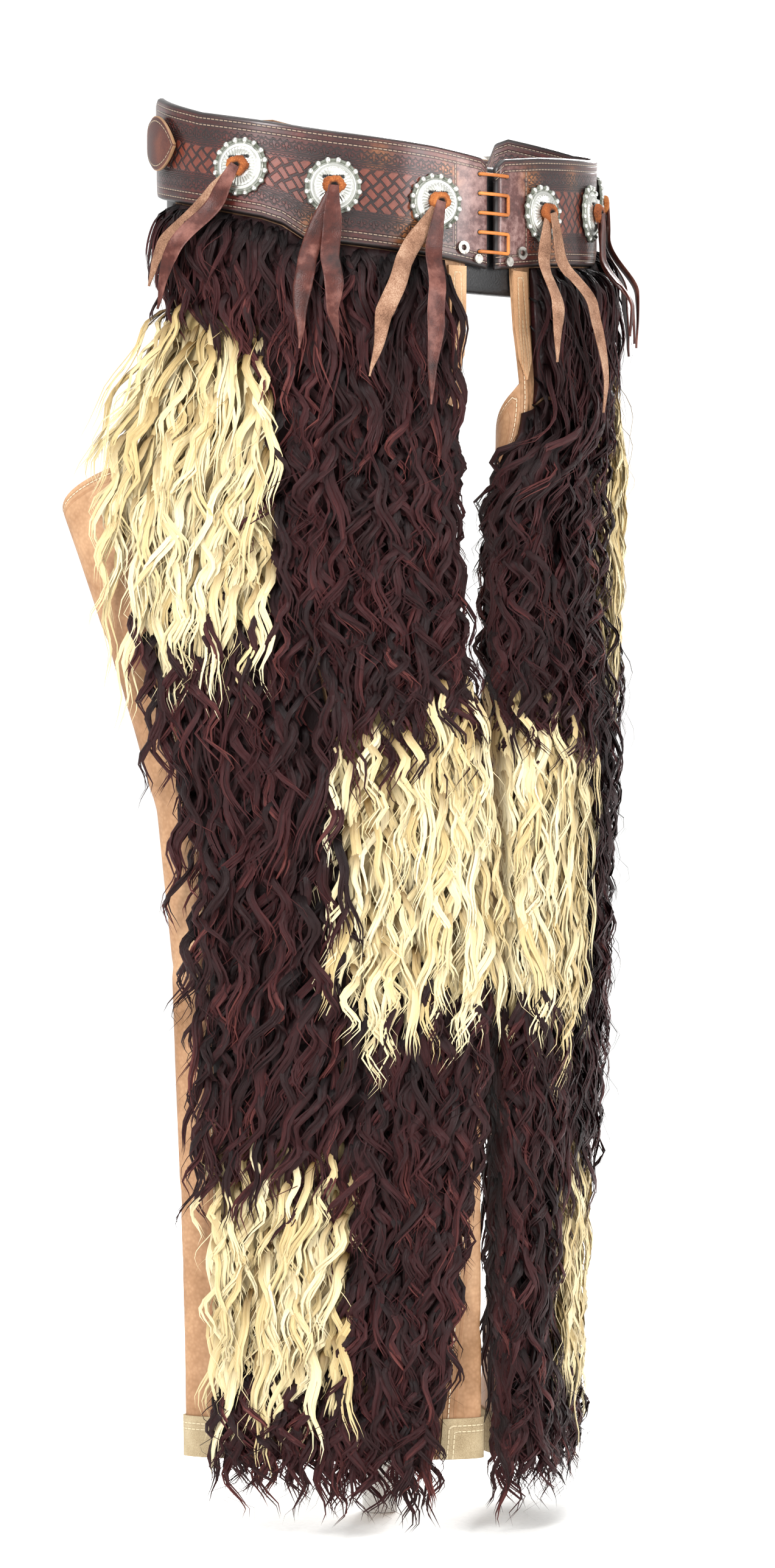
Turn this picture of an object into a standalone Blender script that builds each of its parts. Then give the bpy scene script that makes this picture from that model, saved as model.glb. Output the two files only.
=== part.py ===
"""Woolly leather chaps on a short limbless hip form, at real size.

The front of the garment faces -Y and its right leg is at -X. Every shape is worked out in
millimetres for the right side, with x counted outwards from the middle, and is mirrored for
the left side. Heights called h are counted up from the leather's hem. The frame's origin is
the centre of the stand's underside.
"""
import math

import bmesh
import bpy
import numpy as np

METRE = 0.001

# The stand and the height at which the garment hangs above the floor.
HEM = 62.0
BASE_RADIUS = 175.0
BASE_THICK = 8.0
BASE_CHAMFER = 1.5
BASE_Y = -28.0
POLE_RADIUS = 12.5
GAP = 0.3

# The belt follows an ellipse, given by its outer half-widths.
BELT_A = 175.0
BELT_B = 125.0
BELT_THICK = 4.5
BELT_START = 1.1
BELT_END = 119.0
PANEL_DEPTH = 5.0
FORM_DEPTH = 7.8

# Heights of the belt's edges by angle from the middle of the front.
BELT_COLUMNS = ("angle", "top", "bottom")
BELT_ROWS = (
    (0.0, 885.0, 820.0),
    (1.5, 892.0, 820.0),
    (3.5, 897.0, 821.0),
    (16.0, 902.0, 826.0),
    (42.0, 909.0, 833.0),
    (49.0, 911.5, 835.0),
    (55.0, 914.0, 845.0),
    (61.0, 916.5, 850.0),
    (82.0, 925.0, 860.0),
    (112.0, 943.0, 873.0),
    (116.5, 940.0, 878.0),
    (119.0, 926.0, 892.0),
)

# The form's flat ends slope up to the back.
FORM_LOW = 800.0
FORM_LOW_SLOPE = 0.22
FORM_HIGH = 890.0
FORM_HIGH_SLOPE = 0.17
FORM_SEGMENTS = 48

# One row for each level of the leg: the tube's flat width, how far its front and back stand
# from its broad line, how far the outer seam stands from its inner edge as a share of its
# width, and how far the front has turned from the tube's line to the belt's.
LEG_COLUMNS = ("height", "width", "front_depth", "back_depth", "seam_out", "belt_share")
LEG_ROWS = (
    (0.0, 204.0, 20.0, 30.0, 0.86, 0.0),
    (80.0, 205.0, 21.0, 26.0, 0.86, 0.0),
    (163.0, 207.0, 25.0, 20.0, 0.86, 0.0),
    (272.0, 211.0, 31.0, 15.0, 0.86, 0.0),
    (348.0, 214.0, 35.0, 13.0, 0.86, 0.0),
    (440.0, 223.0, 39.0, 12.0, 0.86, 0.0),
    (500.0, 238.0, 41.0, 12.0, 0.86, 0.0),
    (541.0, 249.0, 41.0, 12.0, 0.85, 0.0),
    (588.0, 264.0, 41.0, 13.0, 0.84, 0.0),
    (620.0, 274.0, 41.0, 14.0, 0.82, 0.0),
    (653.0, 285.0, 41.0, 15.0, 0.80, 0.0),
    (690.0, 285.0, 41.0, 16.0, 0.79, 0.03),
    (716.0, 285.0, 41.0, 17.0, 0.77, 0.22),
    (743.0, 285.0, 41.0, 18.0, 0.75, 0.50),
    (781.0, 285.0, 41.0, 18.0, 0.68, 0.84),
    (820.0, 285.0, 41.0, 18.0, 0.60, 1.0),
    (960.0, 285.0, 41.0, 18.0, 0.60, 1.0),
)

# Each leg's inner edge: its distance from the middle, how far along the broad line it starts,
# the inner seam's place, which is behind the edge where it is negative, and how close to the
# middle the hair may come. Hair of the left leg reaches over the middle where the right leg
# is drawn back.
INNER_COLUMNS = ("height", "inner_x", "start", "seam_in", "hair_x")
INNER_ROWS = {
    "right": (
        (0.0, 12.0, 0.0, 0.14, 2.0),
        (80.0, 12.0, 0.0, 0.11, 2.0),
        (163.0, 12.5, 0.0, 0.07, 2.0),
        (272.0, 13.0, 0.0, 0.03, 2.0),
        (348.0, 12.5, 0.0, 0.012, 2.0),
        (440.0, 13.0, 0.0, 0.01, 2.0),
        (500.0, 14.0, 3.0, 0.01, 4.0),
        (541.0, 16.0, 9.0, 0.01, 12.0),
        (588.0, 16.5, 15.0, 0.01, 16.0),
        (653.0, 18.0, 17.0, 0.01, 16.0),
        (690.0, 20.0, 13.0, 0.01, 14.0),
        (743.0, 25.0, 4.0, 0.01, 8.0),
        (781.0, 25.0, 0.0, 0.01, 4.0),
        (960.0, 25.0, 0.0, 0.01, 4.0),
    ),
    "left": (
        (0.0, 10.0, 0.0, -0.02, 1.0),
        (163.0, 10.5, 0.0, -0.025, 1.0),
        (272.0, 11.0, 0.0, -0.03, 1.0),
        (500.0, 12.0, 0.0, -0.03, 1.0),
        (541.0, 11.0, 0.0, -0.03, -2.0),
        (588.0, 10.0, 0.0, -0.03, -6.0),
        (620.0, 10.5, 0.0, -0.025, -6.0),
        (653.0, 11.0, 0.0, -0.015, -6.0),
        (690.0, 14.0, 0.0, -0.002, -4.0),
        (743.0, 22.0, 0.0, 0.01, 0.0),
        (781.0, 25.0, 0.0, 0.01, 4.0),
        (960.0, 25.0, 0.0, 0.01, 4.0),
    ),
}
INNER_Y = -126.0
LEG_TURN = math.radians(42.0)
ALONG = (math.cos(LEG_TURN), math.sin(LEG_TURN))
OUTWARD = (math.sin(LEG_TURN), -math.cos(LEG_TURN))

# The front panel hangs from this stretch of the belt and is tucked up behind it.
PANEL_START = 7.0
PANEL_END = 98.0
PANEL_TUCK = 18.0
LEATHER = 2.0
FRONT_COLUMNS = 16
BACK_COLUMNS = 18
LEVELS = (0.0, 80.0, 163.0, 272.0, 348.0, 440.0, 500.0, 541.0, 588.0, 620.0, 653.0, 690.0, 716.0, 743.0)
UPPER_SHARE = 0.62

# The gaps along the two long seams, as shares of the back panel's girth: the inner one opens
# towards the crotch, where the front turns away to the belt.
BACK_SEAM = 0.0012
CROTCH_SEAM = 0.012
CROTCH_SEAM_LOW = 660.0

# The back panel's upper edge, by its share of the way round from the inner seam.
BACK_TOP_COLUMNS = ("share", "height")
BACK_TOP_ROWS = (
    (0.0, 743.0),
    (0.2, 705.0),
    (0.41, 650.0),
    (0.62, 634.0),
    (0.78, 653.0),
    (1.0, 688.0),
)

# Fleece: each border between patches has its height at the inner and the outer edge, and the
# swing of its pointed locks.
FLEECE_GAP = 0.5
FLEECE_SEAM = 3.4
FLEECE_TOP_GAP = 1.5
SIDE_INSET = 0.07
EDGES = {
    "hip": (724.0, 806.0, 8.0),
    "knee_inner": (552.0, 498.0, 10.0),
    "knee_outer": (604.0, 598.0, 12.0),
    "calf": (356.0, 318.0, 16.0),
    "shin": (226.0, 220.0, 12.0),
    "hem": (70.0, 70.0, 5.0),
}
SWING_START = 4.0
HIP_FIRST = 1
LEG_FIRST = 0
SPLIT_HIGH = 10
SPLIT_LOW = 9

# Below the thigh the columns of the panel lean inwards by this share of its width.
COLUMN_LEAN = 0.085
LEAN_HIGH = 600.0
LEAN_LOW = 540.0

# Hair thickness: relief of neighbouring columns, and its shares at the edges and the tips.
LOCK_RELIEF = 2.6
HIP_SWELL = 38.0
INNER_THIN = 0.5
OUTER_THIN = 0.4
TIP_THIN = 0.55
THINNEST = 1.2

# Rows beside a border: the first above it, the least distance to others, and how far a level
# that has left the patch creeps on.
BORDER_ROW = 7.0
BORDER_STEP = 1.0
BORDER_CREEP = 0.01

# Patches: first and last column, upper and lower border, thickness above and below.
PATCH_COLUMNS = ("name", "first", "last", "upper", "lower", "thin", "thick", "colour")
PATCHES = (
    ("fleece_hip", HIP_FIRST, FRONT_COLUMNS, "belt", "hip", 3.0, 25.0, "dark_fleece"),
    ("fleece_thigh_inner", LEG_FIRST, SPLIT_HIGH, "hip", "knee_inner", 19.0, 23.0, "dark_fleece"),
    ("fleece_thigh_outer", SPLIT_HIGH, FRONT_COLUMNS, "hip", "knee_outer", 19.0, 26.0, "cream_fleece"),
    ("fleece_knee_inner", LEG_FIRST, SPLIT_HIGH, "knee_inner", "calf", 16.0, 23.0, "cream_fleece"),
    ("fleece_knee_outer", SPLIT_HIGH, FRONT_COLUMNS, "knee_outer", "shin", 17.0, 23.0, "dark_fleece"),
    ("fleece_calf_inner", LEG_FIRST, SPLIT_HIGH, "calf", "shin", 16.0, 21.0, "dark_fleece"),
    ("fleece_shin_inner", LEG_FIRST, SPLIT_LOW, "shin", "hem", 15.0, 20.0, "dark_fleece"),
    ("fleece_shin_outer", SPLIT_LOW, FRONT_COLUMNS, "shin", "hem", 15.0, 21.0, "cream_fleece"),
)

# Hem locks hang from a narrow strip under the fleece and end just above the stand's base.
STRIP_LOW = 30.0
STRIP_THICK = 11.0
LOCK_MIDDLE = -8.0
LOCK_MIDDLE_SIZE = 0.62
LOCK_LEAN = 1.5
LOCK_TIP = -41.0
LOCK_TIP_SWING = 7.0
LOCKS_PER_COLUMN = 2
LOCK_INSET = 0.22

CUFF_HEIGHT = 28.0
CUFF_THICK = 1.6
EDGE_STRIP_THICK = 1.8
EDGE_STRIP_LOW = 745.0
EDGE_STRIP_COLUMNS = 0.86

# Conchos: radius, height, and the berries' reach and height of each ring from the rim inwards.
CONCHO_BERRIES = 16
CONCHO_COLUMNS = ("radius", "lift", "berry_reach", "berry_lift")
CONCHO_ROWS = (
    (20.2, 0.0, 0.0, 0.0),
    (19.6, 1.6, 1.4, 0.4),
    (18.6, 2.6, 0.6, 1.4),
    (16.4, 2.2, 0.0, 0.0),
    (13.0, 3.9, 0.0, 0.0),
    (6.0, 4.9, 0.0, 0.0),
)
CONCHOS = {
    "right_1": (16.0, 862.5),
    "right_2": (41.7, 870.5),
    "right_3": (67.0, 885.0),
    "left_1": (16.0, 862.5),
    "left_2": (41.7, 870.5),
    "left_3": (67.0, 885.0),
}

# Strings: a flat loop on each concho, and two tails, given by angle and height at three shares
# of their length.
STRING_WIDTH = 13.0
STRING_THICK = 2.2
LOOP_REST = 5.2
LOOP_SIDES = 10
LOOP_HALF_WIDE = 8.0
LOOP_HALF_HIGH = 5.5
LOOP_ROWS = ((0.0, 1.0), (3.4, 1.0), (4.8, 0.7))
TAIL_RINGS = 11
TAIL_SHARES = (0.0, 0.45, 1.0)
TAIL_REST = 7.2
TAIL_STACK = 1.3
TAIL_SWELL = 20.0
TAIL_SWELL_START = 8.0
TAIL_SWELL_DROP = 40.0
TAIL_NECK = 0.62
TAIL_TAPER = 0.36
TAIL_TIP = 0.12
TAILS = {
    "right_1": (((16.0, 30.0, 40.0), (862.5, 800.0, 738.0)), ((16.0, 21.0, 26.0), (862.5, 790.0, 720.0))),
    "right_2": (((41.7, 49.0, 55.0), (870.5, 815.0, 756.0)), ((41.7, 43.0, 46.0), (870.5, 815.0, 760.0))),
    "right_3": (((67.0, 82.0, 92.0), (885.0, 848.0, 803.0)), ((67.0, 79.0, 90.0), (885.0, 838.0, 785.0))),
    "left_1": (((16.0, 12.0, 9.0), (862.5, 806.0, 752.0)), ((16.0, 23.0, 32.0), (862.5, 792.0, 722.0))),
    "left_2": (((41.7, 47.0, 53.0), (870.5, 832.0, 779.0)), ((41.7, 44.0, 46.0), (870.5, 834.0, 782.0))),
    "left_3": (((67.0, 71.0, 75.0), (885.0, 838.0, 774.0)), ((67.0, 64.0, 60.0), (885.0, 834.0, 778.0))),
}

# The closing at the middle of the front: five rows of lace, an eyelet and a rivet on each half.
LACE_ANGLE = 4.0
LACE_RADIUS = 1.2
LACE_ROWS = (884.8, 871.4, 858.0, 844.6, 831.2)
LACE_SLACK = 0.15
LACE_BULGE = 0.4
LACE_BEND = 0.9
LACE_HOLE_RADIUS = 2.2
EYELET_ANGLE = 8.7
EYELET_HEIGHT = 833.0
EYELET_RADIUS = 4.6
EYELET_BORE = 2.2
EYELET_OUT = 1.8
RIVET_ANGLE = 4.6
RIVET_HEIGHT = 826.0
RIVET_RADIUS = 3.4
RIVET_OUT = 1.9
THROUGH = 9.0

# The strap that closes the belt at the back, its tab and its buckle.
STRAP_OUT = 0.4
STRAP_HALF_HEIGHT = 14.5
STRAP_THICK = 3.0
STRAP_FIRST = 104.0
STRAP_LAST = 256.0
STRAP_HEIGHT = 911.0
STRAP_SLOPE = 0.38
STRAP_POINT = (0.8, 0.25)
STRAP_HOLES = (231.5, 239.0, 246.0)
STRAP_HOLE_RADIUS = 3.0
TAB_FIRST = 91.0
TAB_LAST = 121.0
TAB_HALF_HEIGHT = 19.0
TAB_THICK = 2.4
BUCKLE_ANGLE = 246.0
BUCKLE_HALF_ANGLE = 7.0
BUCKLE_BAR_ANGLE = 2.0
BUCKLE_BAR = 3.6
BUCKLE_THICK = 2.6
BUCKLE_PAST_STRAP = 5.0
TONGUE_RADIUS = 1.3

SIDES = {"right": -1.0, "left": 1.0}

# Colour, roughness and metallic value of each material.
MATERIALS = {
    "belt_leather": ((0.070, 0.020, 0.018), 0.50, 0.0),
    "string_leather": ((0.140, 0.050, 0.035), 0.70, 0.0),
    "lace_leather": ((0.570, 0.180, 0.045), 0.55, 0.0),
    "concho_silver": ((0.620, 0.620, 0.580), 0.30, 1.0),
    "chap_leather": ((0.640, 0.380, 0.200), 0.65, 0.0),
    "cuff_leather": ((0.380, 0.290, 0.190), 0.85, 0.0),
    "dark_fleece": ((0.028, 0.010, 0.012), 0.60, 0.0),
    "cream_fleece": ((0.760, 0.640, 0.380), 0.65, 0.0),
    "form_black": ((0.010, 0.010, 0.011), 0.35, 0.0),
    "stand_white": ((0.800, 0.800, 0.790), 0.45, 0.0),
    "buckle_metal": ((0.500, 0.500, 0.490), 0.35, 1.0),
}


def clear_scene():
    for thing in list(bpy.data.objects):
        bpy.data.objects.remove(thing, do_unlink=True)


def make_materials():
    made = {}
    for name, (colour, roughness, metallic) in MATERIALS.items():
        material = bpy.data.materials.new(name)
        material.use_nodes = True
        shader = material.node_tree.nodes["Principled BSDF"]
        shader.inputs["Base Color"].default_value = (*colour, 1.0)
        shader.inputs["Roughness"].default_value = roughness
        shader.inputs["Metallic"].default_value = metallic
        made[name] = material
    return made


def table(columns, rows):
    return {name: np.array([row[place] for row in rows]) for place, name in enumerate(columns)}


BELT = table(BELT_COLUMNS, BELT_ROWS)
LEG = table(LEG_COLUMNS, LEG_ROWS)
BACK_TOP = table(BACK_TOP_COLUMNS, BACK_TOP_ROWS)


def mix(first, second, share):
    return first + (second - first) * share


def ease(share):
    share = np.clip(share, 0.0, 1.0)
    return share * share * (3.0 - 2.0 * share)




def belt_value(name, angle):
    return np.interp(angle, BELT["angle"], BELT[name])


def belt_normal(angle):
    turn = np.radians(angle)
    normal = np.stack((np.sin(turn) / BELT_A, -np.cos(turn) / BELT_B, np.zeros_like(turn)), axis=-1)
    return normal / np.linalg.norm(normal, axis=-1, keepdims=True)


def belt_point(angle, height, out):
    """A point of the ellipse at an angle and a height, moved outwards along its normal."""
    angle, height, out = np.broadcast_arrays(*(np.asarray(v, dtype=float) for v in (angle, height, out)))
    turn = np.radians(angle)
    ring = np.stack((BELT_A * np.sin(turn), -BELT_B * np.cos(turn), HEM + height), axis=-1)
    return ring + belt_normal(angle) * out[..., None]


def surface_normal(surface, height, share, sign):
    step = 1e-3
    rise = 0.5
    across = surface(height, share + step) - surface(height, share - step)
    upwards = surface(height + rise, share) - surface(height - rise, share)
    normal = np.cross(across, upwards) * sign
    return normal / np.linalg.norm(normal, axis=-1, keepdims=True)


def column_share(column, height):
    """A column's share of the front panel, which leans inwards below the thigh."""
    share = column / FRONT_COLUMNS
    lean = COLUMN_LEAN * (1.0 - ease((height - LEAN_LOW) / (LEAN_HIGH - LEAN_LOW)))
    return share - lean * 4.0 * share * (1.0 - share)


class Leg:
    """One leg's surfaces, from the common table and its own side's table of the inner edge."""

    def __init__(self, side_name):
        self.side_name = side_name
        self.side = SIDES[side_name]
        self.inner = table(INNER_COLUMNS, INNER_ROWS[side_name])
        self.front = self.front_sheet()
        self.back = self.back_sheet()

    def value(self, name, height):
        rows = LEG if name in LEG_COLUMNS else self.inner
        return np.interp(height, rows["height"], rows[name])

    def seam_turn(self, name, height):
        """The angle round the leg's flattened tube at which a seam lies."""
        share = self.value(name, height)
        return np.copysign(np.arccos(1.0 - 2.0 * np.abs(share)), share)

    def tube_point(self, height, turn):
        """Two half rounds on the broad line: turn 0 is the inner edge, pi the outer edge.

        The front is half an ellipse. The back leaves both edges as steeply and then runs flatter.
        """
        start = self.value("start", height)
        along = start + (self.value("width", height) - start) * (1.0 - np.cos(turn)) / 2.0
        front = self.value("front_depth", height)
        back = self.value("back_depth", height)
        swell = np.sin(turn)
        flat = 1.0 - (1.0 - np.clip(-swell, 0.0, 1.0)) ** np.maximum(front / back, 1.0)
        depth = np.where(swell > 0.0, front * swell, -back * flat)
        x = self.value("inner_x", height) + ALONG[0] * along + OUTWARD[0] * depth
        y = INNER_Y + ALONG[1] * along + OUTWARD[1] * depth
        return np.stack((x, y, HEM + height + 0.0 * turn), axis=-1)

    def front_point(self, height, share):
        """The front panel: from the inner seam to the outer one, turning from tube to belt."""
        turn = mix(self.seam_turn("seam_in", height), self.seam_turn("seam_out", height), share)
        on_belt = belt_point(mix(PANEL_START, PANEL_END, share), height, -PANEL_DEPTH)
        return mix(self.tube_point(height, turn), on_belt, self.value("belt_share", height)[..., None])

    def back_point(self, height, share):
        """The back panel: from the inner seam round the back to the outer one."""
        first = self.seam_turn("seam_in", height)
        last = self.seam_turn("seam_out", height)
        base = self.tube_point(height, mix(first, last - 2.0 * math.pi, share))
        inner_shift = self.front_point(height, 0.0 * share) - self.tube_point(height, first)
        outer_shift = self.front_point(height, 1.0 + 0.0 * share) - self.tube_point(height, last)
        return base + inner_shift * ((1.0 - share) ** 2)[..., None] + outer_shift * (share ** 2)[..., None]

    def front_sheet(self):
        """Heights, points and normals at the corners of the front panel."""
        column = np.arange(FRONT_COLUMNS + 1)
        top = belt_value("bottom", mix(PANEL_START, PANEL_END, column / FRONT_COLUMNS)) + PANEL_TUCK
        rows = [np.full_like(top, level) for level in LEVELS]
        rows.append(mix(LEVELS[-1], top, UPPER_SHARE))
        rows.append(top)
        heights = np.array(rows)
        shares = column_share(column, heights)
        return heights, self.front_point(heights, shares), surface_normal(self.front_point, heights, shares, 1.0)

    def back_sheet(self):
        """Heights, points and normals at the corners of the back panel, cut along its upper edge."""
        share = np.linspace(BACK_SEAM, 1.0 - BACK_SEAM, BACK_COLUMNS + 1)
        top = np.interp(share, BACK_TOP["share"], BACK_TOP["height"])
        top[0] = LEVELS[-1]
        heights = np.minimum(np.array(LEVELS)[:, None], top[None, :])
        shares = np.tile(share, (len(heights), 1))
        shares[:, 0] += CROTCH_SEAM * ease((heights[:, 0] - CROTCH_SEAM_LOW) / (LEVELS[-1] - CROTCH_SEAM_LOW))
        return heights, self.back_point(heights, shares), surface_normal(self.back_point, heights, shares, -1.0)

    def clear_of_middle(self, foot, reach, heights, thick):
        """Hair's thickness, cut back where it would come too close to the other leg's."""
        room = (foot[..., 0] - self.value("hair_x", heights)) / np.maximum(-reach[..., 0], 0.02)
        return np.clip(thick, THINNEST, np.maximum(room, THINNEST))


def on_sheet(sheet, columns, heights, out):
    """Points above a sheet's own facets, for columns that may lie between its corners."""
    sheet_heights, points, normals = sheet
    made = np.zeros((*heights.shape, 3))
    for place, column in enumerate(columns):
        low = min(int(column), points.shape[1] - 2)
        share = column - low
        for side, weight in ((low, 1.0 - share), (low + 1, share)):
            level = heights[:, place]
            for axis in range(3):
                foot = np.interp(level, sheet_heights[:, side], points[:, side, axis])
                lift = np.interp(level, sheet_heights[:, side], normals[:, side, axis])
                made[:, place, axis] += weight * (foot + lift * out[:, place])
    return made + np.minimum(heights, 0.0)[..., None] * np.array((0.0, 0.0, 1.0))


def grid_faces(rows, columns, start, flip):
    faces = []
    for row in range(rows - 1):
        for column in range(columns - 1):
            a = start + row * columns + column
            b, c, d = a + 1, a + columns + 1, a + columns
            for face in ((a, b, c), (a, c, d)):
                faces.append(face[::-1] if flip else face)
    return faces


def rim_faces(rows, columns, offset, skip_first_row=False):
    """The narrow faces that close two matching grids along their borders.

    Facing borders of neighbours are split along the same diagonals, so that they stay apart.
    """
    last = rows - 1
    border = [(last, column) for column in range(columns)]
    border += [(row, columns - 1) for row in range(last - 1, -1, -1)]
    if not skip_first_row:
        border += [(0, column) for column in range(columns - 2, -1, -1)]
        border += [(row, 0) for row in range(1, rows)]
        pairs = list(zip(border, border[1:]))
    else:
        left = [(row, 0) for row in range(0, rows)]
        pairs = list(zip(border, border[1:])) + list(zip(left, left[1:]))
    faces = []
    for (row_a, column_a), (row_b, column_b) in pairs:
        a = row_a * columns + column_a
        b = row_b * columns + column_b
        if row_a == row_b == 0 or column_a == column_b == 0:
            faces.append((a, b, a + offset))
            faces.append((b, b + offset, a + offset))
        else:
            faces.append((a, b, b + offset))
            faces.append((a, b + offset, a + offset))
    return faces


def add_mesh(name, points, faces, material, side=-1.0):
    """Make one object from points in millimetres, mirrored to its side of the body."""
    placed = np.array(points, dtype=float)
    placed[:, 0] *= side
    mesh = bpy.data.meshes.new(name)
    mesh.from_pydata((placed * METRE).tolist(), [], faces)
    work = bmesh.new()
    work.from_mesh(mesh)
    bmesh.ops.remove_doubles(work, verts=work.verts, dist=1e-6)
    bmesh.ops.recalc_face_normals(work, faces=work.faces)
    work.to_mesh(mesh)
    work.free()
    mesh.shade_smooth()
    mesh.set_sharp_from_angle(angle=math.radians(40.0))
    mesh.materials.append(material)
    made = bpy.data.objects.new(name, mesh)
    bpy.context.scene.collection.objects.link(made)
    return made


def add_wall(name, outer, inner, material, side=-1.0):
    """Close an outer and an inner grid of points into one wall."""
    rows, columns = outer.shape[:2]
    count = rows * columns
    faces = grid_faces(rows, columns, 0, False) + grid_faces(rows, columns, count, True)
    faces += rim_faces(rows, columns, count)
    points = np.concatenate((outer.reshape(-1, 3), inner.reshape(-1, 3)))
    return add_mesh(name, points, faces, material, side)


def add_rings(name, rings, material, side=-1.0):
    """Close a stack of matching rings with a flat cap at each end."""
    count = rings.shape[1]
    faces = []
    for ring in range(len(rings) - 1):
        for place in range(count):
            a = ring * count + place
            b = ring * count + (place + 1) % count
            faces.append((a, b, b + count, a + count))
    faces.append(tuple(range(count - 1, -1, -1)))
    faces.append(tuple(range((len(rings) - 1) * count, len(rings) * count)))
    return add_mesh(name, rings.reshape(-1, 3), faces, material, side)


def tube_rings(path, radius, sides):
    """Rings of a round tube along a path of points, turned as little as possible."""
    path = np.array(path, dtype=float)
    rings = []
    tangent = np.gradient(path, axis=0)
    tangent /= np.linalg.norm(tangent, axis=1, keepdims=True)
    across = np.cross(tangent[0], (0.0, 0.0, 1.0))
    if np.linalg.norm(across) < 0.1:
        across = np.cross(tangent[0], (1.0, 0.0, 0.0))
    turn = np.arange(sides) * 2.0 * math.pi / sides
    for point, direction in zip(path, tangent):
        across = across - direction * np.dot(across, direction)
        across /= np.linalg.norm(across)
        other = np.cross(direction, across)
        ring = np.cos(turn)[:, None] * across + np.sin(turn)[:, None] * other
        rings.append(point + ring * radius)
    return np.array(rings)


def cut(target, cutters):
    """Take the cutters' shapes out of the target."""
    for cutter in cutters:
        cutter.hide_render = True
        cutter.display_type = "WIRE"
        modifier = target.modifiers.new("hole", "BOOLEAN")
        modifier.operation = "DIFFERENCE"
        modifier.solver = "EXACT"
        modifier.object = cutter


def join_by_union(target, extra):
    """Fuse the extra shapes into the target, which becomes one closed body."""
    for shape in extra:
        shape.hide_render = True
        shape.display_type = "WIRE"
        modifier = target.modifiers.new("fused", "BOOLEAN")
        modifier.operation = "UNION"
        modifier.solver = "EXACT"
        modifier.object = shape


def upright_circle(normal, segments):
    """A circle of unit radius that faces along a level normal, counted from its side."""
    across = np.cross((0.0, 0.0, 1.0), normal)
    turn = np.arange(segments) * 2.0 * math.pi / segments
    return np.cos(turn)[:, None] * across + np.sin(turn)[:, None] * np.array((0.0, 0.0, 1.0))


def peg(name, angle, height, radius, low, high, material, side, segments=10):
    """A short round peg that stands on the belt's surface, between two distances from it."""
    centre = belt_point(angle, height, 0.0)
    normal = belt_normal(np.float64(angle))
    circle = upright_circle(normal, segments) * radius
    rings = np.array([centre + normal * out + circle for out in (low, high)])
    return add_rings(name, rings, material, side)


def make_stand(materials):
    """A flat round base, a slim pole, and the limbless form that the garment is worn on."""
    turn = np.arange(FORM_SEGMENTS) * 2.0 * math.pi / FORM_SEGMENTS
    circle = np.stack((np.cos(turn), np.sin(turn), 0.0 * turn), axis=-1)
    levels = (
        (BASE_RADIUS - BASE_CHAMFER, 0.0),
        (BASE_RADIUS, BASE_CHAMFER),
        (BASE_RADIUS, BASE_THICK - BASE_CHAMFER),
        (BASE_RADIUS - BASE_CHAMFER, BASE_THICK),
    )
    rings = [circle * radius + np.array((0.0, BASE_Y, z)) for radius, z in levels]
    add_rings("stand_base", np.array(rings), materials["stand_white"])

    form_low = HEM + FORM_LOW
    form_high = HEM + FORM_HIGH
    half = circle[::2] * POLE_RADIUS
    foot = half + np.array((0.0, 0.0, BASE_THICK + GAP))
    head = half.copy()
    head[:, 2] = form_low + FORM_LOW_SLOPE * (half[:, 1] + BELT_B) - GAP
    add_rings("stand_pole", np.array([foot, head]), materials["stand_white"])

    rings = []
    for shrink, base, slope, lift in (
        (7.0, form_low, FORM_LOW_SLOPE, 0.0),
        (0.0, form_low, FORM_LOW_SLOPE, 6.0),
        (0.0, form_high, FORM_HIGH_SLOPE, -5.0),
        (5.0, form_high, FORM_HIGH_SLOPE, 0.0),
    ):
        ring = circle * np.array((BELT_A - FORM_DEPTH - shrink, BELT_B - FORM_DEPTH - shrink, 0.0))
        ring[:, 2] = base + slope * (ring[:, 1] + BELT_B) + lift
        rings.append(ring)
    add_rings("hip_form", np.array(rings), materials["form_black"])


def make_belt(side_name, materials):
    """One half of the belt, with the holes of the lace at its front end."""
    side = SIDES[side_name]
    angles = np.array(sorted(set(np.linspace(BELT_START, BELT_END, 29)) | {3.0, 55.0, 61.0, 112.0, 116.5}))
    low = belt_value("bottom", angles)
    high = belt_value("top", angles)
    heights = np.array([mix(low, high, share) for share in (0.0, 0.5, 1.0)])
    spread = np.broadcast_to(angles, heights.shape)
    outer = belt_point(spread, heights, 0.0)
    outer = belt_point(spread, heights, 0.0)
    inner = belt_point(spread, heights, -BELT_THICK)
    half = add_wall("belt_" + side_name, outer, inner, materials["belt_leather"], side)
    holes = []
    for row, height in enumerate(LACE_ROWS):
        holes.append(peg("hole_%s_%d" % (side_name, row), LACE_ANGLE, height, LACE_HOLE_RADIUS, -THROUGH, THROUGH,
                         materials["belt_leather"], side, 8))
    cut(half, holes)


def make_lace(materials):
    """One lace: it crosses the gap in five rows and changes rows inside or outside the belt."""
    outside = GAP + LACE_RADIUS + LACE_SLACK
    inside = -(BELT_THICK + GAP + LACE_RADIUS + LACE_SLACK)
    end = -BELT_THICK / 2.0

    def spot(side, row, out):
        point = belt_point(LACE_ANGLE, LACE_ROWS[row], out)
        point[0] *= SIDES[side]
        return point

    def bulge(row):
        return np.array((0.0, -BELT_B - outside - LACE_BULGE, HEM + LACE_ROWS[row]))

    path = [spot("left", 0, end), spot("left", 0, outside), bulge(0), spot("right", 0, outside)]
    path += [spot("right", 0, inside), spot("right", 1, inside)]
    path += [spot("right", 1, outside), bulge(1), spot("left", 1, outside), spot("left", 2, outside)]
    path += [bulge(2), spot("right", 2, outside), spot("right", 2, inside), spot("right", 3, inside)]
    path += [spot("right", 3, outside), bulge(3), spot("left", 3, outside), spot("left", 4, outside)]
    path += [bulge(4), spot("right", 4, outside), spot("right", 4, end)]
    rings = tube_rings(round_corners(np.array(path), LACE_BEND), LACE_RADIUS, 6)
    add_rings("front_lace", rings, materials["lace_leather"], 1.0)


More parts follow.
